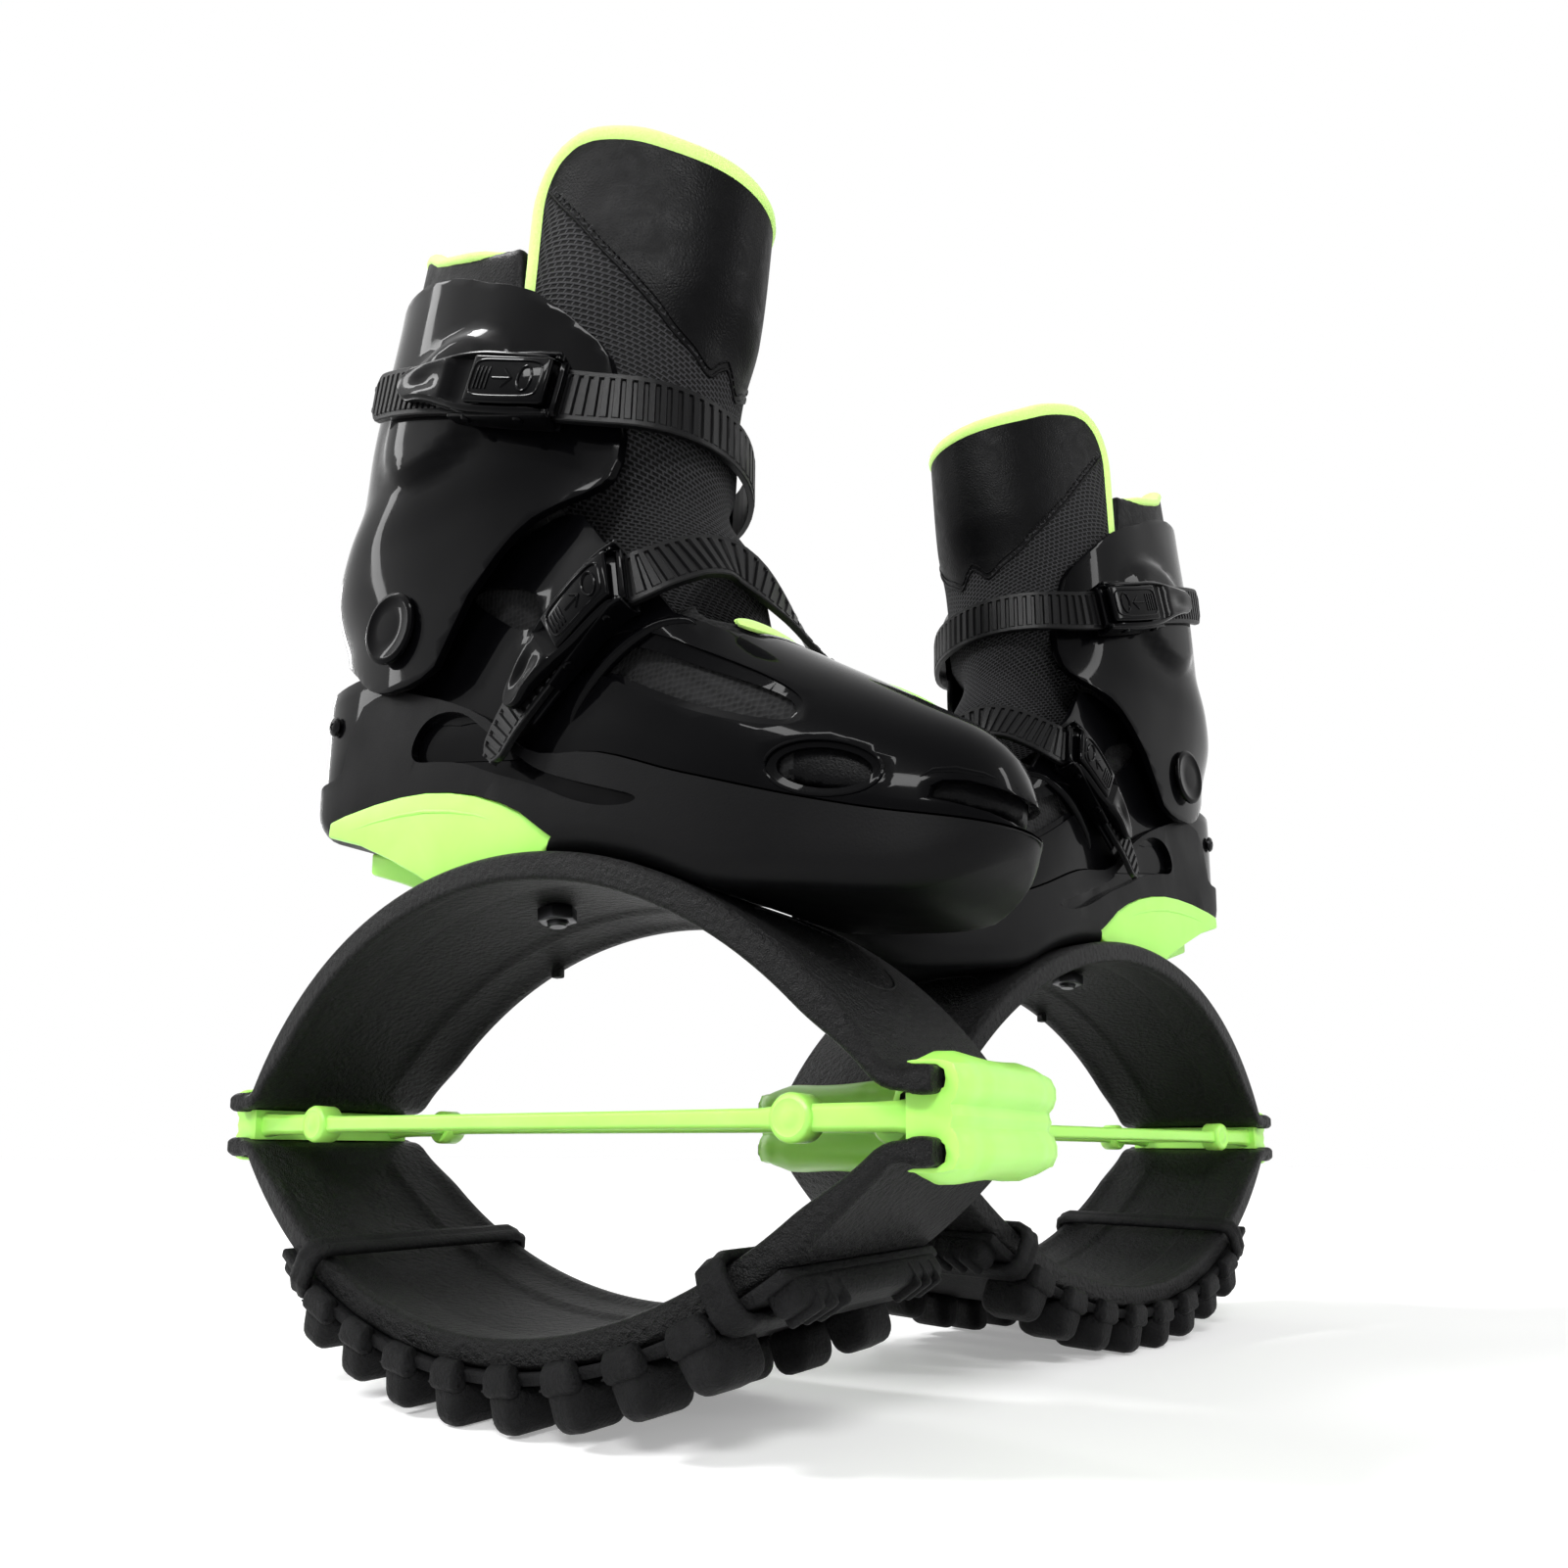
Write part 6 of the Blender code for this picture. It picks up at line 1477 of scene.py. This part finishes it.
def wrapped(form, route, start, pitch):
    """Cuts a flat form at even steps and bends it round a route: x along, y across, z out."""
    long = max(vert.co.x for vert in form.verts)
    cuts = int(long / pitch)
    for k in range(1, cuts):
        bmesh.ops.bisect_plane(form, geom=form.verts[:] + form.edges[:] + form.faces[:],
                               plane_co=(long * k / cuts, 0, 0), plane_no=(1, 0, 0))
    length = ROUTES[route][1][-1]
    for vert in form.verts:
        vert.co = on_route(route, start + vert.co.x / length, vert.co.y, vert.co.z)
    bmesh.ops.recalc_face_normals(form, faces=form.faces)
    return form


for route, body in BODIES:
    length = ROUTES[route][1][-1]
    base_span, lever_span, tab_span = [[s * length for s in span] for span in SPANS[route]]

    # The base channel: a floor under the strap and two side walls with a pin through each.
    run = base_span[1] - base_span[0]
    form = block((run, 23.2, 1.8), (run / 2, 0, -1.3), 0.5, 2)
    for side in (-1, 1):
        wall = block((run * 0.72, 1.7, 6.4), (run * 0.62, side * 11.0, 1.2), 0.6, 2)
        for vert in wall.verts:
            if vert.co.z > 1.2:
                vert.co.z += 3.6 * eased(run * 0.3, run * 0.85, vert.co.x)
        added(form, wall)
        for share in (0.42, 0.80):
            pin = turned([(0, -0.8), (1.7, -0.8), (2.0, -0.4), (2.0, 0.4), (1.5, 0.9),
                          (0, 1.1)], 20)
            added(form, pin, aimed((run * share, side * 11.7, 2.0 + 3.0 * share), (0, side, 0)))
    form = wrapped(opened(shaped(form)), route, SPANS[route][0][0], 3)
    pair(f"{route}_buckle_channel", shaped(form), [GLOSS], [f"{route}_buckle_base"], body,
         sharp=35)

    # The lever: a broad frame at its hinge, tapering to a round tail with a lens-shaped hollow.
    run = lever_span[1] - lever_span[0]
    rings = []
    for k in range(LEVER_STEPS + 1):
        s = (1 - cos(pi * k / LEVER_STEPS)) / 2
        wide = 6.2 + 5.0 * eased(0.10, 0.62, s)
        wide *= sqrt(max(0.02, 1 - (1 - min(1, s / 0.10)) ** 2)) if s < 0.10 else 1
        wide *= 1 - 0.10 * eased(0.93, 1.0, s)
        crown = 8.0 - 1.4 * (1 - eased(0.0, 0.25, s)) + 0.8 * sin(pi * s)
        crown -= 1.8 * eased(0.90, 1.0, s)
        well = 2.6 * eased(0.40, 0.45, s) * (1 - eased(0.955, 0.985, s))
        lens = 1.5 * exp(-((s - 0.22) / 0.095) ** 2)
        side = [(0, crown - well - lens), (wide * 0.30, crown - well - lens * 0.75),
                (wide * 0.55, crown - well - lens * 0.1), (wide * 0.80, crown - well),
                (wide * 0.84, crown - 0.2), (wide * 0.93, crown - 0.5), (wide, crown - 1.4),
                (wide, 4.2), (wide - 0.5, 3.7), (0, 3.7)]
        rings.append([on_route(route, (lever_span[0] + s * run) / length, y, z)
                      for y, z in mirrored(side)])
    form = opened(shaped(sleeve(rings), [rounded(0.35, 2, 34)]))
    hinge = (lever_span[1] - 3.0) / length
    for side in (-1, 1):
        root, tip = (on_route(route, hinge, side * out, 5.6) for out in (9.5, 12.0))
        pin = turned([(0, 0), (2.0, 0), (2.0, 1.9), (1.5, 2.4), (0, 2.5)], 20)
        added(form, pin, aimed(root, tip - root))
    pair(f"{route}_pull_lever", shaped(form), [GLOSS], [f"{route}_buckle_lever"],
         f"{route}_lever", sharp=35)

    # The release tab: a plate in the lever's well with a raised border, an oval ring, an arrow
    # and grip bars.
    run = tab_span[1] - tab_span[0]
    form = block((run, 17.0, 2.6), (run / 2, 0, TAB_FACE - 1.3), 1.0, 3)
    turns = [2 * pi * k / 64 for k in range(64)]
    border = [Vector((run / 2 + (run / 2 - 2.2) * signed(cos(turn), 0.35),
                      6.6 * signed(sin(turn), 0.35), TAB_FACE)) for turn in turns + turns[:1]]
    added(form, tube(border, 0.45, 8, ends=False))
    oval = [Vector((run * 0.76 + 2.6 * cos(turn), 4.6 * sin(turn), TAB_FACE))
            for turn in turns[::2] + turns[:1]]
    added(form, tube(oval, 0.5, 8, ends=False))
    for ends in (((0.36, 0), (0.58, 0)), ((0.50, 3.2), (0.60, 0)), ((0.50, -3.2), (0.60, 0))):
        tail, tip = (Vector((run * share, y, TAB_FACE)) for share, y in ends)
        added(form, tube([tail.lerp(tip, k / 6) for k in range(7)], 0.45, 8))
    for k in range(4):
        added(form, block((0.8, 8.4, 0.7), (run * (0.13 + 0.055 * k), 0, TAB_FACE), 0.25, 2))
    wrapped(form, route, SPANS[route][2][0], 2.5)
    pair(f"{route}_press_tab", shaped(form), [GLOSS], [f"{route}_release_tab"], f"{route}_tab",
         sharp=35)


# Floor, light and camera. A white paper floor and backdrop, soft strip lamps and a far window,
# and the photograph's low viewpoint close to the front of the right shoe.
GLOW, SKY_LIGHT = 0.29, 0.41
bpy.ops.mesh.primitive_plane_add(size=16, location=(0, 0, 0))
floor = bpy.context.object
floor.name = "studio_floor"
ground = bpy.data.materials.new("white_sweep")
world = bpy.context.scene.world or bpy.data.worlds.new("studio")
bpy.context.scene.world = world
floor.data.materials.append(ground)

# Paper floor and sky look white to the camera, in gloss and through holes, but give less light.
for owner in (ground, world):
    owner.use_nodes = True
    tree = owner.node_tree
    tree.nodes.clear()
    path = add(tree, "LightPath").outputs
    seen = add(tree, "Math", {0: path["Is Camera Ray"], 1: path["Is Glossy Ray"]},
               operation="MAXIMUM")
    seen = add(tree, "Math", {0: seen.outputs[0], 1: path["Is Transmission Ray"]},
               operation="MAXIMUM")
    if owner is ground:
        paper = add(tree, "BsdfDiffuse", {"Color": (0.85, 0.85, 0.85, 1)})
        glow = add(tree, "Math", {0: seen.outputs[0], 1: GLOW}, operation="MULTIPLY")
        lit = add(tree, "Emission", {"Color": (1, 1, 1, 1), "Strength": glow.outputs[0]})
        both = add(tree, "AddShader", {0: paper.outputs[0], 1: lit.outputs[0]})
        add(tree, "OutputMaterial", {"Surface": both.outputs[0]})
    else:
        level = add(tree, "MapRange", {"Value": seen.outputs[0], "To Min": SKY_LIGHT})
        sky = add(tree, "Background", {"Color": (1, 1, 1, 1), "Strength": level.outputs[0]})
        add(tree, "OutputWorld", {"Surface": sky.outputs[0]})


def lamp(name, place, target, size, power):
    """A soft rectangular lamp aimed at a point."""
    data = bpy.data.lights.new(name, "AREA")
    data.shape = "RECTANGLE"
    data.size, data.size_y = size
    data.energy = power
    holder = bpy.data.objects.new(name, data)
    holder.location = place
    aim = Vector(target) - Vector(place)
    holder.rotation_euler = aim.to_track_quat("-Z", "Y").to_euler()
    bpy.context.scene.collection.objects.link(holder)
    return holder


# Long strips draw the shells' bright lines. The toe shine shows only in gloss. The far window
# only lights, from behind on the left, and throws the soft shadow to the right.
lamp("key_strip", (-1.2, -0.75, 1.2), (0, -0.1, 0.25), (0.12, 0.9), 3.5)
lamp("top_softbox", (-0.52, -0.39, 1.45), (0.06, -0.2, 0.23), (0.3, 0.22), 5)
lamp("front_strip", (0.9, -1.5, 1.2), (0.05, -0.1, 0.2), (0.6, 0.24), 20)
lamp("left_strip", (-1.5, 0.25, 0.6), (0, -0.1, 0.3), (0.12, 0.9), 3)
lamp("right_strip", (1.35, 0.35, 0.9), (0.1, 0, 0.3), (0.14, 0.8), 6)
shine = lamp("toe_shine", (0.12, -1.1, 1.16), (0.11, -0.2, 0.22), (0.9, 0.1), 10)
shine.visible_diffuse = False
sun = bpy.data.objects.new("far_window", bpy.data.lights.new("far_window", "SUN"))
sun.data.energy, sun.data.angle = 2.1, radians(12)
sun.visible_glossy = False
sun.rotation_euler = Vector((0.74, 0.67, -0.84)).to_track_quat("-Z", "Y").to_euler()
bpy.context.scene.collection.objects.link(sun)

# The viewpoint as it was fitted to the photograph's outline, with a wide lens and a high rise.
VIEW_YAW, VIEW_PITCH, VIEW_ROLL = 33.37, 6.51, 0.41
VIEW_PLACE = (0.07529, -0.40447, 0.09159)
FOCAL_PIXELS, RISE_PIXELS, PHOTO_PIXELS, SENSOR = 1090.67, 250.0, 1601, 36
camera = bpy.data.objects.new("viewpoint", bpy.data.cameras.new("viewpoint"))
camera.data.sensor_width = SENSOR
camera.data.lens = FOCAL_PIXELS / PHOTO_PIXELS * SENSOR
camera.data.shift_y = RISE_PIXELS / PHOTO_PIXELS
camera.data.clip_start = 0.01
pitch, roll = radians(VIEW_PITCH), radians(VIEW_ROLL)
ahead, right = Vector((0, cos(pitch), sin(pitch))), Vector((1, 0, 0))
up = right.cross(ahead)
level_right = right * cos(roll) + up * sin(roll)
level_up = up * cos(roll) - right * sin(roll)
pose = Matrix((level_right, level_up, -ahead)).transposed().to_4x4()
pose.translation = VIEW_PLACE
camera.matrix_world = (Matrix.Translation((*RIGHT_SPOT, 0))
                       @ Matrix.Rotation(radians(VIEW_YAW), 4, "Z") @ pose)
bpy.context.scene.collection.objects.link(camera)
bpy.context.scene.camera = camera
bpy.context.scene.view_settings.view_transform = "Standard"

bpy.context.view_layer.update()
